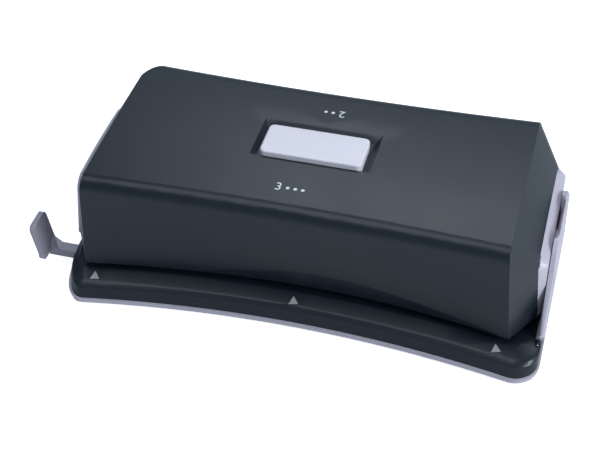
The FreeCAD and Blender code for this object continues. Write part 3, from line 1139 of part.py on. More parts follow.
# Hole markers: triangular pegs let into the sloping ledge in line with the holes
MARK_HALF_WIDTH = 2.5
MARK_LENGTH = 4.6
MARK_FOOT_Z = 12.6
MARK_PROUD = 0.12
MARK_OUT = 2.4
MARK_TURN = 12
bow_x = (BASE_RIGHT - BASE_LEFT) / 2.0
bow_half = (BASE_RIGHT + BASE_LEFT) / 2.0 - PLATFORM_END_IN - PLATFORM_CORNER_X
bow_radius = (bow_half ** 2 + LEDGE_WAIST ** 2) / (2.0 * LEDGE_WAIST)
proud_housing = placed(housing, 0, 0, MARK_PROUD)
for xs, side in PIN_SIDES:
    marks = []
    for x in xs:
        edge = PLATFORM_HALF - LEDGE_WAIST + bow_radius - math.sqrt(bow_radius ** 2 - (x - bow_x) ** 2)
        apex = side * (edge + MARK_OUT)
        wide = side * (edge + MARK_OUT + MARK_LENGTH)
        peg = prism([(x, apex, MARK_FOOT_Z), (x - MARK_HALF_WIDTH, wide, MARK_FOOT_Z),
                     (x + MARK_HALF_WIDTH, wide, MARK_FOOT_Z)], (0, 0, PLATFORM_Z - MARK_FOOT_Z + CUT))
        peg.rotate(V(x, (apex + wide) / 2.0, MARK_FOOT_Z), V(0, 0, 1), MARK_TURN)
        marks.append(peg.common(proud_housing))
        base = base.cut(peg)
    save("hole_markers_front" if side < 0 else "hole_markers_rear", Part.makeCompound(marks))
save("base", base)
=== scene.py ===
import bmesh
import bpy
import json
import math
from mathutils import Matrix, Vector
from mathutils.bvhtree import BVHTree


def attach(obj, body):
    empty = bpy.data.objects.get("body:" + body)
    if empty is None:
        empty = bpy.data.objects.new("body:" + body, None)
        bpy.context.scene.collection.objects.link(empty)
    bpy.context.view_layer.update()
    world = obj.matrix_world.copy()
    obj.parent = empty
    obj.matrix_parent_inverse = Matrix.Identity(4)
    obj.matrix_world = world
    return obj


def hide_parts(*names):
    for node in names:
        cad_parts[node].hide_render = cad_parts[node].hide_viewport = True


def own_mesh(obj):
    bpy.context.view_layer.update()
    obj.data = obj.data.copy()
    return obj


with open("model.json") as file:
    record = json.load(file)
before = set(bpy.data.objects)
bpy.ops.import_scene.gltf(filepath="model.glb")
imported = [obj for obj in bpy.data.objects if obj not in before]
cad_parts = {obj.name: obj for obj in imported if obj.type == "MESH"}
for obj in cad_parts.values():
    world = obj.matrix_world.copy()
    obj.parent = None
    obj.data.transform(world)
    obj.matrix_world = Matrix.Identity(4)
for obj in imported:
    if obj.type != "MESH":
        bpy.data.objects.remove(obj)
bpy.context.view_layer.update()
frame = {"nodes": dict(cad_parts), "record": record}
MM = 0.001

# Camera of the product picture: about 0.75 m away, 42 degrees above the table and 15 degrees
# round to the right, with a long lens and a very slight roll.
CAMERA_TURN = math.radians(15.26)
CAMERA_RISE = math.radians(42.28)
CAMERA_ROLL = math.radians(-0.68)
CAMERA_DISTANCE = 0.750
CAMERA_TARGET = Vector((-0.0046, 0.0, 0.0254))
FOCAL_PIXELS = 1380.0
PICTURE_WIDTH = 600.0
CENTRE_RIGHT = 7.4
CENTRE_UP = 0.9
SENSOR_WIDTH = 36.0
NEAREST_SEEN = 0.01
away = Vector((math.sin(CAMERA_TURN) * math.cos(CAMERA_RISE),
               -math.cos(CAMERA_TURN) * math.cos(CAMERA_RISE), math.sin(CAMERA_RISE)))
level = Vector((math.cos(CAMERA_TURN), math.sin(CAMERA_TURN), 0))
upright = away.cross(level)
right = level * math.cos(CAMERA_ROLL) + upright * math.sin(CAMERA_ROLL)
up = upright * math.cos(CAMERA_ROLL) - level * math.sin(CAMERA_ROLL)
camera = bpy.data.objects.new("camera", bpy.data.cameras.new("camera"))
bpy.context.scene.collection.objects.link(camera)
camera.matrix_world = Matrix.Translation(CAMERA_TARGET + away * CAMERA_DISTANCE) @ Matrix(
    (right, up, away)).transposed().to_4x4()
camera.data.sensor_fit = "HORIZONTAL"
camera.data.sensor_width = SENSOR_WIDTH
camera.data.lens = SENSOR_WIDTH * FOCAL_PIXELS / PICTURE_WIDTH
camera.data.shift_x = -CENTRE_RIGHT / PICTURE_WIDTH
camera.data.shift_y = -CENTRE_UP / PICTURE_WIDTH
camera.data.clip_start = NEAREST_SEEN
bpy.context.scene.camera = camera
bpy.context.scene.view_settings.view_transform = "Standard"

# Studio: a white floor that keeps the soft shadow, a white room for the camera, and one long
# softbox high behind the machine, whose reflection runs along the front half of the roof.
FLOOR_HALF = 2.5
FLOOR_WHITE = (0.80, 0.80, 0.81, 1)
FLOOR_LIFT = 0.76
ROOM_ZENITH = (0.155, 0.21, 0.28, 1)
ROOM_HORIZON = (0.33, 0.43, 0.53, 1)
ZENITH_FROM = 0.8
LAMP_TINT = (0.88, 0.94, 1.0)
# Each softbox has a name, a place, the point that it faces, its two sides and its power.
SOFTBOXES = (("rear_softbox", (0.22, 0.85, 1.15), (0.0, 0.0, 0.04), (1.5, 0.34), 6.8),
             ("top_softbox", (-0.2, -0.25, 1.4), (0.0, 0.0, 0.0), (0.8, 0.8), 5.0),
             ("right_softbox", (1.5, -0.5, 0.7), (0.1, 0.0, 0.03), (0.7, 0.7), 22.0))


def shader_nodes(owner):
    """Nodes of a material or world, emptied, and the call that links two of their sockets."""
    owner.use_nodes = True
    owner.node_tree.nodes.clear()
    return owner.node_tree.nodes, owner.node_tree.links.new


floor_mesh = bpy.data.meshes.new("studio_floor")
floor_mesh.from_pydata([(x * FLOOR_HALF, y * FLOOR_HALF, 0)
                        for x, y in ((-1, -1), (1, -1), (1, 1), (-1, 1))], [], [(0, 1, 2, 3)])
floor = bpy.data.objects.new("studio_floor", floor_mesh)
bpy.context.scene.collection.objects.link(floor)
floor_paint = bpy.data.materials.new("studio_floor_white")
nodes, link = shader_nodes(floor_paint)
seen = nodes.new("ShaderNodeLightPath")
matt = nodes.new("ShaderNodeBsdfDiffuse")
matt.inputs["Color"].default_value = FLOOR_WHITE
lift = nodes.new("ShaderNodeMath")
lift.operation = "MULTIPLY"
lift.inputs[1].default_value = FLOOR_LIFT
glow = nodes.new("ShaderNodeEmission")
both = nodes.new("ShaderNodeAddShader")
out = nodes.new("ShaderNodeOutputMaterial")
link(seen.outputs["Is Camera Ray"], lift.inputs[0])
link(lift.outputs[0], glow.inputs["Strength"])
link(matt.outputs[0], both.inputs[0])
link(glow.outputs[0], both.inputs[1])
link(both.outputs[0], out.inputs["Surface"])
floor_mesh.materials.append(floor_paint)

world = bpy.data.worlds.new("studio_room")
bpy.context.scene.world = world
nodes, link = shader_nodes(world)
where = nodes.new("ShaderNodeTexCoord")
split = nodes.new("ShaderNodeSeparateXYZ")
ramp = nodes.new("ShaderNodeValToRGB")
ramp.color_ramp.elements[0].color = ROOM_HORIZON
ramp.color_ramp.elements[1].color = ROOM_ZENITH
ramp.color_ramp.elements[1].position = ZENITH_FROM
room = nodes.new("ShaderNodeBackground")
white = nodes.new("ShaderNodeBackground")
white.inputs["Color"].default_value = (1, 1, 1, 1)
seen = nodes.new("ShaderNodeLightPath")
mix = nodes.new("ShaderNodeMixShader")
out = nodes.new("ShaderNodeOutputWorld")
link(where.outputs["Generated"], split.inputs[0])
link(split.outputs["Z"], ramp.inputs[0])
link(ramp.outputs[0], room.inputs["Color"])
link(seen.outputs["Is Camera Ray"], mix.inputs[0])
link(room.outputs[0], mix.inputs[1])
link(white.outputs[0], mix.inputs[2])
link(mix.outputs[0], out.inputs["Surface"])
for name, place, aim, size, power in SOFTBOXES:
    lamp = bpy.data.lights.new(name, "AREA")
    lamp.shape = "RECTANGLE"
    lamp.size, lamp.size_y = size
    lamp.energy = power
    lamp.color = LAMP_TINT
    holder = bpy.data.objects.new(name, lamp)
    bpy.context.scene.collection.objects.link(holder)
    holder.location = place
    holder.rotation_euler = (Vector(aim) - Vector(place)).to_track_quat("-Z", "Y").to_euler()

# Top cover: one black satin ABS moulding, pinched at the waist, with a facet at each end.
# It stands 4.2 mm above the paper platform and is screwed down from below through the spine.
BLACK = (0.0058, 0.0105, 0.0165, 1)
BLACK_RUBBED = (0.034, 0.039, 0.046, 1)
WELD_GAP = 0.002
PATCH_DETAIL = 4.0
GRAIN_DETAIL = 2.0
GRAIN_STRENGTH = 0.3
EDGE_RADIUS = 0.35
EDGE_SAMPLES = 4
EDGE_FLAT = 0.98
EDGE_TURNED = 0.80
FLECK_SCALE = 3200.0
EVEN_WEIGHT = 60
BODY_OF = {node: body for body, members in frame["record"]["behaviour"]["bodies"].items()
           for node in members}
SLOT_OF = {part["node"]: part["material_slot"] for part in frame["record"]["subparts"]}


def finish_of(name, colour, rubbed, rough, spread=0.06, metallic=0.0, specular=0.5, shade=0.07,
              grain=2400.0, grain_depth=0.010, stretch=(1, 1, 1), patch=32.0, wear=0.35, flecks=0.0,
              bands=()):
    """Procedural finish: fine grain, slow changes of gloss and shade, rubbed edges, and, where
    asked for, flecks or bands of other colours that begin at given places along X."""
    paint = bpy.data.materials.new(name)
    nodes, link = shader_nodes(paint)
    out = nodes.new("ShaderNodeOutputMaterial")
    bsdf = nodes.new("ShaderNodeBsdfPrincipled")
    bsdf.inputs["Metallic"].default_value = metallic
    bsdf.inputs["Specular IOR Level"].default_value = specular
    place = nodes.new("ShaderNodeTexCoord")
    drawn = nodes.new("ShaderNodeMapping")
    drawn.inputs["Scale"].default_value = stretch
    slow = nodes.new("ShaderNodeTexNoise")
    slow.inputs["Scale"].default_value = patch
    slow.inputs["Detail"].default_value = PATCH_DETAIL
    fine = nodes.new("ShaderNodeTexNoise")
    fine.inputs["Scale"].default_value = grain
    fine.inputs["Detail"].default_value = GRAIN_DETAIL
    gloss = nodes.new("ShaderNodeMapRange")
    gloss.inputs["To Min"].default_value = rough - spread
    gloss.inputs["To Max"].default_value = rough + spread
    round_edge = nodes.new("ShaderNodeBevel")
    round_edge.samples = EDGE_SAMPLES
    round_edge.inputs["Radius"].default_value = EDGE_RADIUS * MM
    bump = nodes.new("ShaderNodeBump")
    bump.inputs["Strength"].default_value = GRAIN_STRENGTH
    bump.inputs["Distance"].default_value = grain_depth * MM
    shape = nodes.new("ShaderNodeNewGeometry")
    turned = nodes.new("ShaderNodeVectorMath")
    turned.operation = "DOT_PRODUCT"
    edge = nodes.new("ShaderNodeMapRange")
    edge.inputs["From Min"].default_value = EDGE_FLAT
    edge.inputs["From Max"].default_value = EDGE_TURNED
    edge.inputs["To Max"].default_value = wear
    rub = nodes.new("ShaderNodeMath")
    rub.operation = "MULTIPLY"
    tone = nodes.new("ShaderNodeMix")
    tone.data_type = "RGBA"
    tone.inputs["A"].default_value = [c * (1 - shade) for c in colour[:3]] + [1]
    tone.inputs["B"].default_value = [c * (1 + shade) for c in colour[:3]] + [1]
    coat = nodes.new("ShaderNodeMix")
    coat.data_type = "RGBA"
    coat.inputs["B"].default_value = rubbed
    link(place.outputs["Object"], drawn.inputs["Vector"])
    link(place.outputs["Object"], slow.inputs["Vector"])
    link(drawn.outputs["Vector"], fine.inputs["Vector"])
    link(slow.outputs["Fac"], gloss.inputs["Value"])
    link(slow.outputs["Fac"], tone.inputs["Factor"])
    link(fine.outputs["Fac"], bump.inputs["Height"])
    link(round_edge.outputs["Normal"], bump.inputs["Normal"])
    link(round_edge.outputs["Normal"], turned.inputs[0])
    link(shape.outputs["Normal"], turned.inputs[1])
    link(turned.outputs["Value"], edge.inputs["Value"])
    link(edge.outputs["Result"], rub.inputs[0])
    link(slow.outputs["Fac"], rub.inputs[1])
    link(rub.outputs[0], coat.inputs["Factor"])
    link(tone.outputs["Result"], coat.inputs["A"])
    if flecks:
        flakes = nodes.new("ShaderNodeTexVoronoi")
        flakes.inputs["Scale"].default_value = FLECK_SCALE
        glint = nodes.new("ShaderNodeMix")
        glint.data_type = "RGBA"
        glint.blend_type = "SOFT_LIGHT"
        glint.inputs["Factor"].default_value = flecks
        link(place.outputs["Object"], flakes.inputs["Vector"])
        link(tone.outputs["Result"], glint.inputs["A"])
        link(flakes.outputs["Color"], glint.inputs["B"])
        link(glint.outputs["Result"], coat.inputs["A"])
    top = coat.outputs["Result"]
    if bands:
        apart = nodes.new("ShaderNodeSeparateXYZ")
        link(place.outputs["Object"], apart.inputs[0])
    for start, band_colour in bands:
        beyond = nodes.new("ShaderNodeMath")
        beyond.operation = "GREATER_THAN"
        beyond.inputs[1].default_value = start
        band = nodes.new("ShaderNodeMix")
        band.data_type = "RGBA"
        band.inputs["B"].default_value = band_colour
        link(apart.outputs["X"], beyond.inputs[0])
        link(beyond.outputs[0], band.inputs["Factor"])
        link(top, band.inputs["A"])
        top = band.outputs["Result"]
    link(top, bsdf.inputs["Base Color"])
    link(gloss.outputs["Result"], bsdf.inputs["Roughness"])
    link(bump.outputs["Normal"], bsdf.inputs["Normal"])
    link(bsdf.outputs[0], out.inputs["Surface"])
    return paint


def merged(node):
    """Working mesh of a CAD node with its loose triangles joined."""
    work = bmesh.new()
    work.from_mesh(frame["nodes"][node].data)
    bmesh.ops.remove_doubles(work, verts=work.verts, dist=WELD_GAP * MM)
    return work


def stands_for(piece, node):
    """Enter a finished piece as the one that is shown for a CAD node."""
    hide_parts(node)
    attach(piece, BODY_OF[node])
    return piece


def finished(work, name, paints, angle=28.0):
    """Smooth piece from a working mesh, crisp where its faces turn by more than the angle."""
    mesh = bpy.data.meshes.new(name)
    work.to_mesh(mesh)
    work.free()
    mesh.shade_smooth()
    mesh.set_sharp_from_angle(angle=math.radians(angle))
    for paint in paints:
        mesh.materials.append(paint)
    piece = bpy.data.objects.new(name, mesh)
    bpy.context.scene.collection.objects.link(piece)
    return piece


def moulding(node, name, paint, angle=28.0):
    """Finished copy of a CAD node whose wide faces keep an even shade up to their edges."""
    piece = finished(merged(node), name, (paint,), angle)
    even = piece.modifiers.new("even_shading", "WEIGHTED_NORMAL")
    even.keep_sharp = True
    even.weight = EVEN_WEIGHT
    return stands_for(piece, node)


black_plastic = finish_of("black_satin_plastic", BLACK, BLACK_RUBBED, rough=0.36, specular=0.45,
                          shade=0.10)
cover = moulding("cover", "cover_moulding", black_plastic, angle=11.0)

# Printed marks: white pad printing on the roof. In front of the button the digit 3 and three dots,
# behind it, turned to face the other user, the digit 2 and two dots.
INK = (0.72, 0.74, 0.76, 1)
DIGIT_HEIGHT = 5.4
DOT_RADIUS = 0.95
DOT_PITCH = 3.9
INK_LIFT = 0.03
CAPITAL_SHARE = 0.7
FIRST_DOT_SHARE = 1.25
DOT_SIDES = 28
ABOVE_ROOF = 100.0
FRONT_MARK = (-10.4, -33.2)
REAR_MARK = (6.6, 31.8)
DOWN = (0, 0, -1)
ink = finish_of("white_print", INK, INK, rough=0.5, wear=0.0, grain_depth=0.004)
roof_tree = BVHTree.FromObject(cover, bpy.context.evaluated_depsgraph_get())


def printed(name, digit, dots, place, turn):
    """Flat ink shapes laid on the roof: a digit and a row of dots after it."""
    text = bpy.data.curves.new(name, "FONT")
    text.body = digit
    text.size = DIGIT_HEIGHT / CAPITAL_SHARE
    text.align_x = "CENTER"
    text.align_y = "CENTER"
    holder = bpy.data.objects.new(name, text)
    bpy.context.scene.collection.objects.link(holder)
    drawn = holder.evaluated_get(bpy.context.evaluated_depsgraph_get())
    flat = bpy.data.meshes.new_from_object(drawn)
    bpy.data.objects.remove(holder)
    work = bmesh.new()
    work.from_mesh(flat)
    for step in range(dots):
        at = Matrix.Translation((DOT_PITCH * (step + FIRST_DOT_SHARE), 0, 0))
        bmesh.ops.create_circle(work, cap_ends=True, segments=DOT_SIDES, radius=DOT_RADIUS,
                                matrix=at)
    for vertex in work.verts:
        flat_place = Matrix.Rotation(turn, 3, "Z") @ vertex.co
        x = (place[0] + flat_place.x) * MM
        y = (place[1] + flat_place.y) * MM
        hit = roof_tree.ray_cast(Vector((x, y, ABOVE_ROOF * MM)), Vector(DOWN))[0]
        vertex.co = (x, y, hit.z + INK_LIFT * MM)
    bmesh.ops.triangulate(work, faces=work.faces)
    mesh = bpy.data.meshes.new(name)
    work.to_mesh(mesh)
    work.free()
    mesh.materials.append(ink)
    piece = bpy.data.objects.new(name, mesh)
    bpy.context.scene.collection.objects.link(piece)
    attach(piece, "housing")


printed("print_three_front", "3", 3, FRONT_MARK, 0.0)
printed("print_two_rear", "2", 2, REAR_MARK, math.pi)

# Base: black moulding with the paper platform, the sloping ledges and the raised spine. It carries
# the dies and frames, and the pan closes it from below.
moulding("base", "base_moulding", black_plastic, angle=14.0)

# Bottom pan: silver-grey moulding, screwed to the base; its rim is the thin bright lip round the
# foot of the base.
SILVER = (0.49, 0.445, 0.505, 1)
SILVER_RUBBED = (0.60, 0.57, 0.62, 1)
silver_plastic = finish_of("silver_fleck_plastic", SILVER, SILVER_RUBBED, rough=0.40, metallic=0.12,
                           flecks=0.18)
moulding("bottom_pan", "bottom_pan_moulding", silver_plastic)

# End panels: silver mouldings set into the ends of the cover. The left one has the hole of the
# power jack, the right one the battery opening, which a silver lid closes.
moulding("left_end_panel", "left_panel_moulding", silver_plastic)
moulding("right_end_panel", "right_panel_moulding", silver_plastic)
moulding("battery_lid", "battery_lid_moulding", silver_plastic)

# Sheet support: silver outer panel that folds down at the right end to carry the edge of a long
# sheet. It turns on a steel pin in the base.
moulding("sheet_support", "sheet_support_moulding", silver_plastic)

# Top button: pale silver moulding with rounded edges. It stands in the recess of the roof and is
# held there by a flange under the roof.
BUTTON = (0.71, 0.67, 0.71, 1)
BUTTON_RUBBED = (0.84, 0.81, 0.84, 1)
button_plastic = finish_of("button_pale_plastic", BUTTON, BUTTON_RUBBED, rough=0.34, metallic=0.05,
                           flecks=0.10)
moulding("top_button", "button_moulding", button_plastic)

# Paper guide: arm with a stop plate for the sheet's edge. Its grey is the panels' silver darkened
# by about a third, which is painted shade of the guide's front face. The arm slides in the base.
# Guide colour and its rubbed edge colour: the panels' silver with painted shade, darker all over.
GUIDE_SHADED_SILVER = (0.33, 0.30, 0.345, 1)
GUIDE_SHADED_SILVER_RUBBED = (0.45, 0.43, 0.47, 1)
guide_shaded_silver = finish_of("guide_grey_plastic", GUIDE_SHADED_SILVER, GUIDE_SHADED_SILVER_RUBBED, rough=0.42, metallic=0.10,
                          flecks=0.15)
moulding("paper_guide", "paper_guide_moulding", guide_shaded_silver)

# Hole markers: grey triangular pegs let into the sloping ledges, three in front and two behind, one
# in line with each hole.
MARKER = (0.35, 0.335, 0.335, 1)
MARKER_RUBBED = (0.45, 0.46, 0.48, 1)
marker_plastic = finish_of("marker_grey_plastic", MARKER, MARKER_RUBBED, rough=0.45)
moulding("hole_markers_front", "markers_front_pegs", marker_plastic)
moulding("hole_markers_rear", "markers_rear_pegs", marker_plastic)

# Chip drawer: shallow black moulded tray between base and pan. It slides out of the right end to be
# emptied.
moulding("chip_drawer", "chip_drawer_moulding", black_plastic)

# Rubber feet: five soft discs pressed under the pan, each with a chamfer and two tread rings, four
# near the corners and one in the middle.
RUBBER = (0.022, 0.022, 0.024, 1)
RUBBER_RUBBED = (0.06, 0.06, 0.062, 1)
FOOT_CHAMFER = 0.5
TREAD_RADII = (4.6, 2.6)
TREAD_WIRE = 0.28
TREAD_STEPS = 40
TREAD_SIDES = 8
TURNED_SIDES = 36
SPIN_SEED = 7
CREASE_ANGLE = 32
SORT_DIGITS = 5


def islands(node):
    """Lowest and highest corner of each separate solid of a CAD node."""
    work = merged(node)
    found = []
    left = set(work.verts)
    while left:
        rim = [left.pop()]
        group = list(rim)
        while rim:
            for edge in rim.pop().link_edges:
                for vertex in edge.verts:
                    if vertex in left:
                        left.remove(vertex)
                        rim.append(vertex)
                        group.append(vertex)
        low, high = ([pick(vertex.co[axis] for vertex in group) for axis in range(3)]
                     for pick in (min, max))
        found.append((Vector(low), Vector(high)))
    work.free()
    return sorted(found, key=lambda pair: tuple(round(c, SORT_DIGITS) for c in pair[0]))


def repeated(name, node, spots, sizes, draw, paint):
    """Geometry-node shape repeated on spots, each a place and a direction, as one plain piece."""
    points = bpy.data.meshes.new(name)
    points.from_pydata([place for place, way in spots], [], [])
    facing = points.attributes.new("facing", "FLOAT_VECTOR", "POINT")
    facing.data.foreach_set("vector", [c for place, way in spots for c in way])
    tree = bpy.data.node_groups.new(name, "GeometryNodeTree")
    socket = tree.interface.new_socket
    socket("Spots", in_out="INPUT", socket_type="NodeSocketGeometry")
    names = {size: socket(size, in_out="INPUT", socket_type="NodeSocketFloat").identifier
             for size in sizes}
    coat = socket("Paint", in_out="INPUT", socket_type="NodeSocketMaterial").identifier
    socket("Copies", in_out="OUTPUT", socket_type="NodeSocketGeometry")
    entry = tree.nodes.new("NodeGroupInput")

    def add(kind, feeds, **settings):
        """New node with its settings and inputs; returns its first output."""
        made = tree.nodes.new(kind)
        for key, value in settings.items():
            setattr(made, key, value)
        for key, feed in feeds.items():
            for item in feed if isinstance(feed, list) else [feed]:
                if isinstance(item, bpy.types.NodeSocket):
                    tree.links.new(item, made.inputs[key])
                else:
                    made.inputs[key].default_value = item
        return made.outputs[0]

    def lifted(shape, height):
        """Shape moved up its own axis."""
        return add("GeometryNodeTransform",
                   {"Geometry": shape, "Translation": add("ShaderNodeCombineXYZ", {"Z": height})})

    one = draw(add, lifted, {key: entry.outputs[key] for key in sizes})
    way = add("GeometryNodeInputNamedAttribute", {"Name": "facing"}, data_type="FLOAT_VECTOR")
    turned = add("FunctionNodeAlignRotationToVector", {"Vector": way}, axis="Z")
    copies = add("GeometryNodeInstanceOnPoints", {"Points": entry.outputs["Spots"], "Instance": one,
                                                  "Rotation": turned})
    spin = add("FunctionNodeRandomValue", {0: (0, 0, 0), 1: (0, 0, math.tau), "Seed": SPIN_SEED},
               data_type="FLOAT_VECTOR")
    copies = add("GeometryNodeRotateInstances", {"Instances": copies, "Rotation": spin})
    copies = add("GeometryNodeRealizeInstances", {"Geometry": copies})
    copies = add("GeometryNodeSetMaterial", {"Geometry": copies,
                                             "Material": entry.outputs["Paint"]})
    tree.links.new(copies, tree.nodes.new("NodeGroupOutput").inputs["Copies"])
    piece = bpy.data.objects.new(name, points)
    maker = piece.modifiers.new(name, "NODES")
    maker.node_group = tree
    for key, value in sizes.items():
        maker[names[key]] = value * MM
    maker[coat] = paint
    bpy.context.scene.collection.objects.link(piece)
    made = piece.evaluated_get(bpy.context.evaluated_depsgraph_get())
    mesh = bpy.data.meshes.new_from_object(made)
    piece.modifiers.remove(maker)
    piece.data = mesh
    mesh.shade_smooth()
    mesh.set_sharp_from_angle(angle=math.radians(CREASE_ANGLE))
    return stands_for(piece, node)


def cone(add, lifted, foot, top, depth, height):
    """Round step of a turned shape from one radius to another."""
    body = add("GeometryNodeMeshCone", {"Vertices": TURNED_SIDES, "Radius Bottom": foot,
                                        "Radius Top": top, "Depth": depth})
    return lifted(body, height)


def draw_foot(add, lifted, size):
    """Disc with a chamfer and two tread rings; it grows downwards from the pan."""
    disc = cone(add, lifted, size["Radius"], size["Radius"], size["Straight height"], 0.0)
    chamfer = cone(add, lifted, size["Radius"], size["Tread radius"], size["Chamfer"],
                   size["Straight height"])
    rings = []
    for key in ("Outer ring", "Inner ring"):
        path = add("GeometryNodeCurvePrimitiveCircle",
                   {"Resolution": TREAD_STEPS, "Radius": size[key]})
        wire = add("GeometryNodeCurvePrimitiveCircle",
                   {"Resolution": TREAD_SIDES, "Radius": size["Ring wire"]})
        ring = add("GeometryNodeCurveToMesh", {"Curve": path, "Profile Curve": wire})
        rings.append(lifted(ring, size["Ring height"]))
    return add("GeometryNodeJoinGeometry", {"Geometry": [disc, chamfer, *rings]})


rubber = finish_of("foot_rubber", RUBBER, RUBBER_RUBBED, rough=0.75, specular=0.3, grain=900.0,
                   grain_depth=0.03)
foot_boxes = islands("rubber_feet")
foot_low, foot_high = foot_boxes[0]
foot_radius = (foot_high.x - foot_low.x) / 2 / MM
foot_height = (foot_high.z - foot_low.z) / MM
foot_spots = [(((low.x + high.x) / 2, (low.y + high.y) / 2, high.z), DOWN)
              for low, high in foot_boxes]
foot_sizes = {"Radius": foot_radius, "Tread radius": foot_radius - FOOT_CHAMFER,
              "Straight height": foot_height - FOOT_CHAMFER - TREAD_WIRE, "Chamfer": FOOT_CHAMFER,
              "Outer ring": TREAD_RADII[0], "Inner ring": TREAD_RADII[1], "Ring wire": TREAD_WIRE,
              "Ring height": foot_height - TREAD_WIRE}
repeated("rubber_feet_discs", "rubber_feet", foot_spots, foot_sizes, draw_foot, rubber)

# Screws: zinc-plated steel with a domed pan head, a cross recess and a thread. The same screw shape
# serves pan, frames, housing, circuit board and motor; the cam bars run on four shoulder screws.
ZINC = (0.56, 0.56, 0.545, 1)
ZINC_BRIGHT = (0.75, 0.75, 0.74, 1)
DOME_SHARE = 0.42
CROWN_SHARE = 0.68
RECESS_ACROSS_SHARE = 1.15
RECESS_WIDTH_SHARE = 0.24
RECESS_DEPTH_SHARE = 0.62
THREAD_WIRE = 0.13
THREAD_PITCH = 0.7
THREAD_STEPS = 14
THREAD_SIDES = 3
UP, BACK = (0, 0, 1), (0, 1, 0)
# Of each kind of screw: height of the head, radius of the head and radius of the shank.
PAN_SCREW = (1.0, 2.8, 1.5)
HOUSING_SCREW = (2.0, 2.8, 1.5)
SMALL_SCREW = (1.6, 2.1, 1.25)
SHOULDER_SCREW = (2.0, 3.2, 1.98)


def draw_screw(add, lifted, size):
    """Pan-head screw: the head grows up from the seat, the threaded shank down from it. The cutter
    of the recess is centred on the top of the head, so half of it cuts."""
    rim = cone(add, lifted, size["Head radius"], size["Head radius"], size["Rim height"], 0.0)
    dome = cone(add, lifted, size["Head radius"], size["Crown radius"], size["Dome height"],
                size["Rim height"])
    head = add("GeometryNodeMeshBoolean", {"Mesh 2": [rim, dome]}, operation="UNION",
               solver="EXACT")
    slots = []
    for wide, narrow in (("Recess across", "Recess width"), ("Recess width", "Recess across")):
        block = add("ShaderNodeCombineXYZ", {"X": size[wide], "Y": size[narrow],
                                             "Z": size["Recess cutter"]})
        slots.append(lifted(add("GeometryNodeMeshCube", {"Size": block}), size["Head top"]))
    head = add("GeometryNodeMeshBoolean", {"Mesh 1": head, "Mesh 2": slots}, operation="DIFFERENCE",
               solver="EXACT")
    shank = cone(add, lifted, size["Shank radius"], size["Shank radius"], size["Shank length"],
                 size["Shank foot"])
    helix = add("GeometryNodeCurveSpiral", {"Resolution": THREAD_STEPS,
                                            "Rotations": size["Thread turns"],
                                            "Start Radius": size["Shank radius"],
                                            "End Radius": size["Shank radius"],
                                            "Height": size["Thread length"]})
    ridge = add("GeometryNodeCurvePrimitiveCircle",
                {"Resolution": THREAD_SIDES, "Radius": size["Thread wire"]})
    thread = lifted(add("GeometryNodeCurveToMesh", {"Curve": helix, "Profile Curve": ridge}),
                    size["Shank foot"])
    return add("GeometryNodeJoinGeometry", {"Geometry": [head, shank, thread]})


def screws(name, node, way, kind, paint):
    """Screw set on the places that the CAD gives. A way of None turns the heads outwards."""
    head_height, head_radius, shank_radius = kind
    spots = []
    for low, high in islands(node):
        middle = (low + high) / 2
        facing = Vector(way) if way else Vector((0, math.copysign(1, middle.y), 0))
        reach = sum((high[k] - low[k]) * abs(facing[k]) for k in range(3)) / MM
        spots.append((middle + facing * (reach / 2 - head_height) * MM, facing))
    length = reach - head_height
    # Inputs are given in millimetres and scaled to metres later, which the count of turns undoes.
    turns = int((length - 2 * THREAD_WIRE) / THREAD_PITCH)
    sizes = {"Head radius": head_radius, "Rim height": head_height * (1 - DOME_SHARE),
             "Dome height": head_height * DOME_SHARE, "Crown radius": head_radius * CROWN_SHARE,
             "Recess across": head_radius * RECESS_ACROSS_SHARE,
             "Recess width": head_radius * RECESS_WIDTH_SHARE,
             "Recess cutter": 2 * head_height * RECESS_DEPTH_SHARE, "Head top": head_height,
             "Shank radius": shank_radius - THREAD_WIRE, "Shank length": length,
             "Shank foot": -length, "Thread turns": turns / MM,
             "Thread length": turns * THREAD_PITCH, "Thread wire": THREAD_WIRE}
    repeated(name, node, spots, sizes, draw_screw, paint)


zinc = finish_of("zinc_plated_steel", ZINC, ZINC_BRIGHT, rough=0.32, metallic=1.0, grain=1800.0,
                 patch=220.0)
screws("pan_screw_set", "pan_screws", DOWN, PAN_SCREW, zinc)
screws("frame_screw_set", "frame_screws", UP, SMALL_SCREW, zinc)
screws("housing_screw_set", "housing_screws", DOWN, HOUSING_SCREW, zinc)
screws("board_screw_set", "board_screws", DOWN, SMALL_SCREW, zinc)
screws("motor_screw_set", "motor_screws", BACK, SMALL_SCREW, zinc)
screws("shoulder_screw_set", "bar_shoulder_screws", None, SHOULDER_SCREW, zinc)

# Inner steelwork: galvanised punch frames, gear plates and cam bars, bent or punched from sheet,
# and the zinc-plated washers under the heads of the shoulder screws.
GALVANISED = (0.47, 0.48, 0.49, 1)
GALVANISED_BRIGHT = (0.66, 0.67, 0.68, 1)
galvanised = finish_of("galvanised_sheet", GALVANISED, GALVANISED_BRIGHT, rough=0.40, metallic=0.9,
                       shade=0.16, patch=140.0, grain=900.0)


def dressed(slot, ending, paint):
    """Smooth pieces for all CAD nodes of one material that have none yet."""
    for node, cad in frame["nodes"].items():
        if SLOT_OF[node] == slot and not cad.hide_render:
            moulding(node, node + ending, paint)


dressed("sheet_steel", "_sheet", galvanised)
dressed("screw_steel", "_plated", zinc)

# Ground tool steel: die plates, punch pins with their cross pins, shafts with the steel pinions,
# and the hinge pin of the sheet support. The grinding marks run along X.
TOOL_STEEL = (0.36, 0.365, 0.375, 1)
TOOL_STEEL_BRIGHT = (0.62, 0.62, 0.63, 1)
tool_steel = finish_of("ground_tool_steel", TOOL_STEEL, TOOL_STEEL_BRIGHT, rough=0.27, metallic=1.0,
                       stretch=(0.04, 1, 1), grain=3000.0, grain_depth=0.02, patch=90.0)
dressed("tool_steel", "_ground", tool_steel)

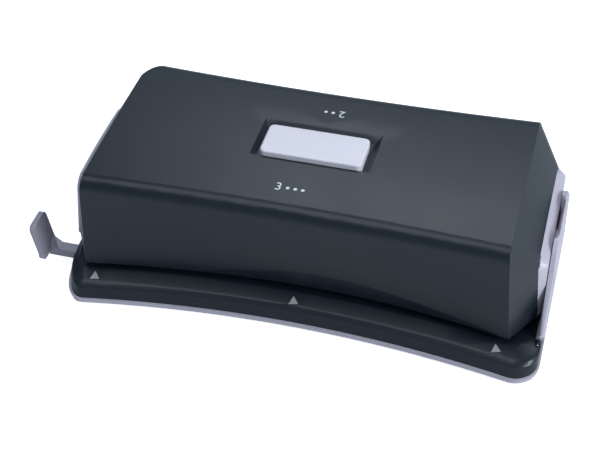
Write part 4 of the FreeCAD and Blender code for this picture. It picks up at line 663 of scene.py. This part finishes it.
# Gears: the drive gear and the idler wheel are off-white acetal mouldings, the wheel with six holes
# in its web. Both are pressed onto steel shafts.
ACETAL = (0.66, 0.65, 0.60, 1)
ACETAL_RUBBED = (0.80, 0.79, 0.74, 1)
acetal = finish_of("acetal_gears", ACETAL, ACETAL_RUBBED, rough=0.42)
dressed("gear_plastic", "_teeth", acetal)

# Bushes and motor pinion: turned brass. The bushes are pressed into the gear plates, the pinion
# onto the motor shaft.
BRASS = (0.62, 0.44, 0.20, 1)
BRASS_BRIGHT = (0.82, 0.64, 0.34, 1)
brass = finish_of("turned_brass", BRASS, BRASS_BRIGHT, rough=0.28, metallic=1.0, patch=160.0)
dressed("bush_brass", "_turned", brass)

# Button spring: hard-drawn spring wire, five turns, between the board and the button's roof. In the
# machine it shortens towards the board as the button goes down by its travel; this piece keeps one
# length.
SPRING_WIRE = (0.30, 0.30, 0.31, 1)
SPRING_WIRE_BRIGHT = (0.55, 0.55, 0.56, 1)
spring_steel = finish_of("spring_wire", SPRING_WIRE, SPRING_WIRE_BRIGHT, rough=0.30, metallic=1.0,
                         patch=300.0)
coil = moulding("button_spring", "button_spring_coil", spring_steel, angle=60.0)
coil.modifiers.remove(coil.modifiers["even_shading"])
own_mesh(coil)

# Motor: drawn steel can, nickel plated. Its neck stands in a hole of the gear plate, and two screws
# hold it there.
MOTOR_CAN = (0.50, 0.50, 0.49, 1)
MOTOR_CAN_BRIGHT = (0.72, 0.72, 0.70, 1)
motor_steel = finish_of("nickel_plated_can", MOTOR_CAN, MOTOR_CAN_BRIGHT, rough=0.30, metallic=1.0,
                        patch=70.0)
dressed("motor_steel", "_can", motor_steel)

# Circuit board: glass-fibre laminate with a green solder mask over its tracks; it hangs from four
# posts under the roof.
MASK = (0.012, 0.105, 0.045, 1)
MASK_TRACK = (0.030, 0.190, 0.085, 1)
board_green = finish_of("board_solder_mask", MASK, MASK_TRACK, rough=0.28, grain=1500.0, patch=60.0)
dressed("board_green", "_laminate", board_green)

# Board parts: under the board, a driver chip with two rows of tinned legs, and a capacitor in a
# dark sleeve with a scored vent in its end. Both are soldered to the board.
EPOXY = (0.016, 0.016, 0.017, 1)
EPOXY_RUBBED = (0.06, 0.06, 0.062, 1)
TIN = (0.62, 0.63, 0.64, 1)
TIN_BRIGHT = (0.8, 0.8, 0.8, 1)
CHIP_LEGS = 8
CHIP_LEG_WIDTH_SHARE = 0.42
CHIP_LEG_REACH = 1.1
CHIP_LEG_SHEET = 0.25
CHIP_TAPER = 0.25
SLEEVE_ROLL = 0.6
VENT_WIDTH = 0.5
VENT_DEPTH = 0.2
VENT_SHARE = 0.7
LATHE_SIDES = 48


def slab(work, low, high, taper=0.0, slot=0):
    """Box between two corners whose lower face is drawn in by the taper."""
    middle, size = (low + high) / 2, high - low
    place = Matrix.Translation(middle) @ Matrix.Diagonal((*size, 1))
    made = bmesh.ops.create_cube(work, size=1.0, matrix=place)["verts"]
    for vertex in made:
        if vertex.co.z < middle.z:
            vertex.co.x -= math.copysign(taper, vertex.co.x - middle.x)
            vertex.co.y -= math.copysign(taper, vertex.co.y - middle.y)
    for face in {face for vertex in made for face in vertex.link_faces}:
        face.material_index = slot


def lathe(work, centre, steps):
    """Turned solid about an upright axis; steps are radius and height from the foot up."""
    rings = [[work.verts.new((centre.x + radius * math.cos(math.tau * k / LATHE_SIDES),
                              centre.y + radius * math.sin(math.tau * k / LATHE_SIDES), height))
              for k in range(LATHE_SIDES)] for radius, height in steps]
    work.faces.new(reversed(rings[0]))
    work.faces.new(rings[-1])
    for under, over in zip(rings, rings[1:]):
        for k in range(LATHE_SIDES):
            work.faces.new((under[k - 1], under[k], over[k], over[k - 1]))


epoxy = finish_of("black_epoxy", EPOXY, EPOXY_RUBBED, rough=0.46, grain=1600.0, grain_depth=0.02)
tin = finish_of("tinned_legs", TIN, TIN_BRIGHT, rough=0.25, metallic=1.0, patch=300.0)
work = bmesh.new()
(can_low, can_high), (chip_low, chip_high) = islands("board_components")
inset = Vector((0, CHIP_LEG_REACH * MM, 0))
slab(work, chip_low + inset, chip_high - inset, CHIP_TAPER * MM)
leg_pitch = (chip_high.x - chip_low.x) / CHIP_LEGS
half_leg = leg_pitch * CHIP_LEG_WIDTH_SHARE / 2
waist = (chip_low.z + chip_high.z) / 2
sheet = CHIP_LEG_SHEET * MM
for k in range(CHIP_LEGS):
    x = chip_low.x + leg_pitch * (k + 0.5)
    for side, reach in ((chip_low.y, CHIP_LEG_REACH * MM), (chip_high.y, -CHIP_LEG_REACH * MM)):
        foot_y = side + math.copysign(sheet, reach)
        slab(work, Vector((x - half_leg, min(side, side + reach), waist - sheet / 2)),
             Vector((x + half_leg, max(side, side + reach), waist + sheet / 2)), slot=1)
        slab(work, Vector((x - half_leg, min(side, foot_y), waist)),
             Vector((x + half_leg, max(side, foot_y), chip_high.z)), slot=1)
middle = (can_low + can_high) / 2
can_radius = (can_high.x - can_low.x) / 2
roll = SLEEVE_ROLL * MM
end_z = can_low.z + roll / 2
lathe(work, middle, ((can_radius - 2 * roll, end_z), (can_radius - roll, end_z),
                     (can_radius - roll, can_low.z), (can_radius, can_low.z + roll),
                     (can_radius, can_high.z - roll), (can_radius - roll, can_high.z)))
vent = (can_radius - 2 * roll) * VENT_SHARE
for wide, narrow in ((vent, VENT_WIDTH * MM / 2), (VENT_WIDTH * MM / 2, vent)):
    slab(work, Vector((middle.x - wide, middle.y - narrow, end_z - VENT_DEPTH * MM)),
         Vector((middle.x + wide, middle.y + narrow, can_low.z + roll)), slot=1)
stands_for(finished(work, "board_parts", (epoxy, tin)), "board_components")

# Push switch: black moulded body with a pressed steel frame round its top and a round plunger. It
# is soldered to the board under the button, inside the spring.
FRAME_SHEET = 0.3
FRAME_INSET = 0.35
PLUNGER_ROUND = 0.25
PLUNGER_SHARE = 0.57
BODY_SHARE = 0.714
work = bmesh.new()
switch_low, switch_high = islands("button_switch")[0]
body_top = switch_low.z + (switch_high.z - switch_low.z) * BODY_SHARE
slab(work, switch_low, Vector((switch_high.x, switch_high.y, body_top - FRAME_SHEET * MM)))
rim = Vector((FRAME_INSET * MM, FRAME_INSET * MM, 0))
slab(work, Vector((switch_low.x, switch_low.y, body_top - FRAME_SHEET * MM)) + rim,
     Vector((switch_high.x, switch_high.y, body_top)) - rim, slot=1)
plunger = (switch_high.x - switch_low.x) / 2 * PLUNGER_SHARE
soft = PLUNGER_ROUND * MM
lathe(work, (switch_low + switch_high) / 2,
      ((plunger, body_top - soft), (plunger, switch_high.z - soft),
       (plunger - soft, switch_high.z)))
stands_for(finished(work, "push_switch", (epoxy, tin)), "button_switch")

# Power jack and battery tray: black glass-filled mouldings. The jack looks out of the left panel,
# the tray opens towards the battery lid.
dressed("component_black", "_body", epoxy)

# Cells: six AA cells in shrink sleeves, dark with a copper band at the positive end. They lie side
# by side in the tray, in two layers of three.
SLEEVE = (0.020, 0.022, 0.026, 1)
SLEEVE_RUBBED = (0.05, 0.052, 0.056, 1)
SLEEVE_BAND = (0.50, 0.24, 0.10, 1)
CELL_METAL = (0.62, 0.61, 0.58, 1)
BAND_LENGTH = 11.0
CELL_NUB_LENGTH = 1.0
CELL_NUB_SHARE = 0.377
CELL_ROLL = 0.5
CELL_SHOULDER = 0.9


def draw_cell(add, lifted, size):
    """Outline of one cell: rolled foot, sleeve, drawn-in shoulder and contact nub."""
    foot = cone(add, lifted, size["Foot radius"], size["Radius"], size["Roll"], 0.0)
    body = cone(add, lifted, size["Radius"], size["Radius"], size["Sleeve length"], size["Roll"])
    neck = cone(add, lifted, size["Radius"], size["Foot radius"], size["Shoulder"],
                size["Shoulder height"])
    nub = cone(add, lifted, size["Nub radius"], size["Nub radius"], size["Nub length"],
               size["Nub height"])
    return add("GeometryNodeJoinGeometry", {"Geometry": [foot, body, neck, nub]})


cell_boxes = islands("battery_cells")
cell_low, cell_high = cell_boxes[0]
cell_length = (cell_high.x - cell_low.x) / MM
cell_radius = (cell_high.z - cell_low.z) / 2 / MM
shoulder_at = cell_length - CELL_NUB_LENGTH - CELL_SHOULDER
cell_sizes = {"Radius": cell_radius, "Foot radius": cell_radius - CELL_ROLL, "Roll": CELL_ROLL,
              "Sleeve length": shoulder_at - CELL_ROLL, "Shoulder": CELL_SHOULDER,
              "Shoulder height": shoulder_at, "Nub radius": cell_radius * CELL_NUB_SHARE,
              "Nub length": CELL_NUB_LENGTH, "Nub height": cell_length - CELL_NUB_LENGTH}
band_at = cell_high.x - (CELL_NUB_LENGTH + BAND_LENGTH) * MM
cap_at = cell_high.x - (CELL_NUB_LENGTH + CELL_SHOULDER) * MM
sleeve = finish_of("cell_sleeve", SLEEVE, SLEEVE_RUBBED, rough=0.30,
                   bands=((band_at, SLEEVE_BAND), (cap_at, CELL_METAL)))
cell_spots = [((low.x, (low.y + high.y) / 2, (low.z + high.z) / 2), (1, 0, 0))
              for low, high in cell_boxes]
repeated("battery_cell_set", "battery_cells", cell_spots, cell_sizes, draw_cell, sleeve)

# Contacts: nickel-plated spring steel strips, one at each end of each cell. They lie against the
# end walls of the tray.
NICKEL = (0.62, 0.61, 0.58, 1)
NICKEL_BRIGHT = (0.80, 0.79, 0.76, 1)
nickel = finish_of("nickel_contacts", NICKEL, NICKEL_BRIGHT, rough=0.26, metallic=1.0, patch=120.0)
dressed("contact_metal", "_strip", nickel)
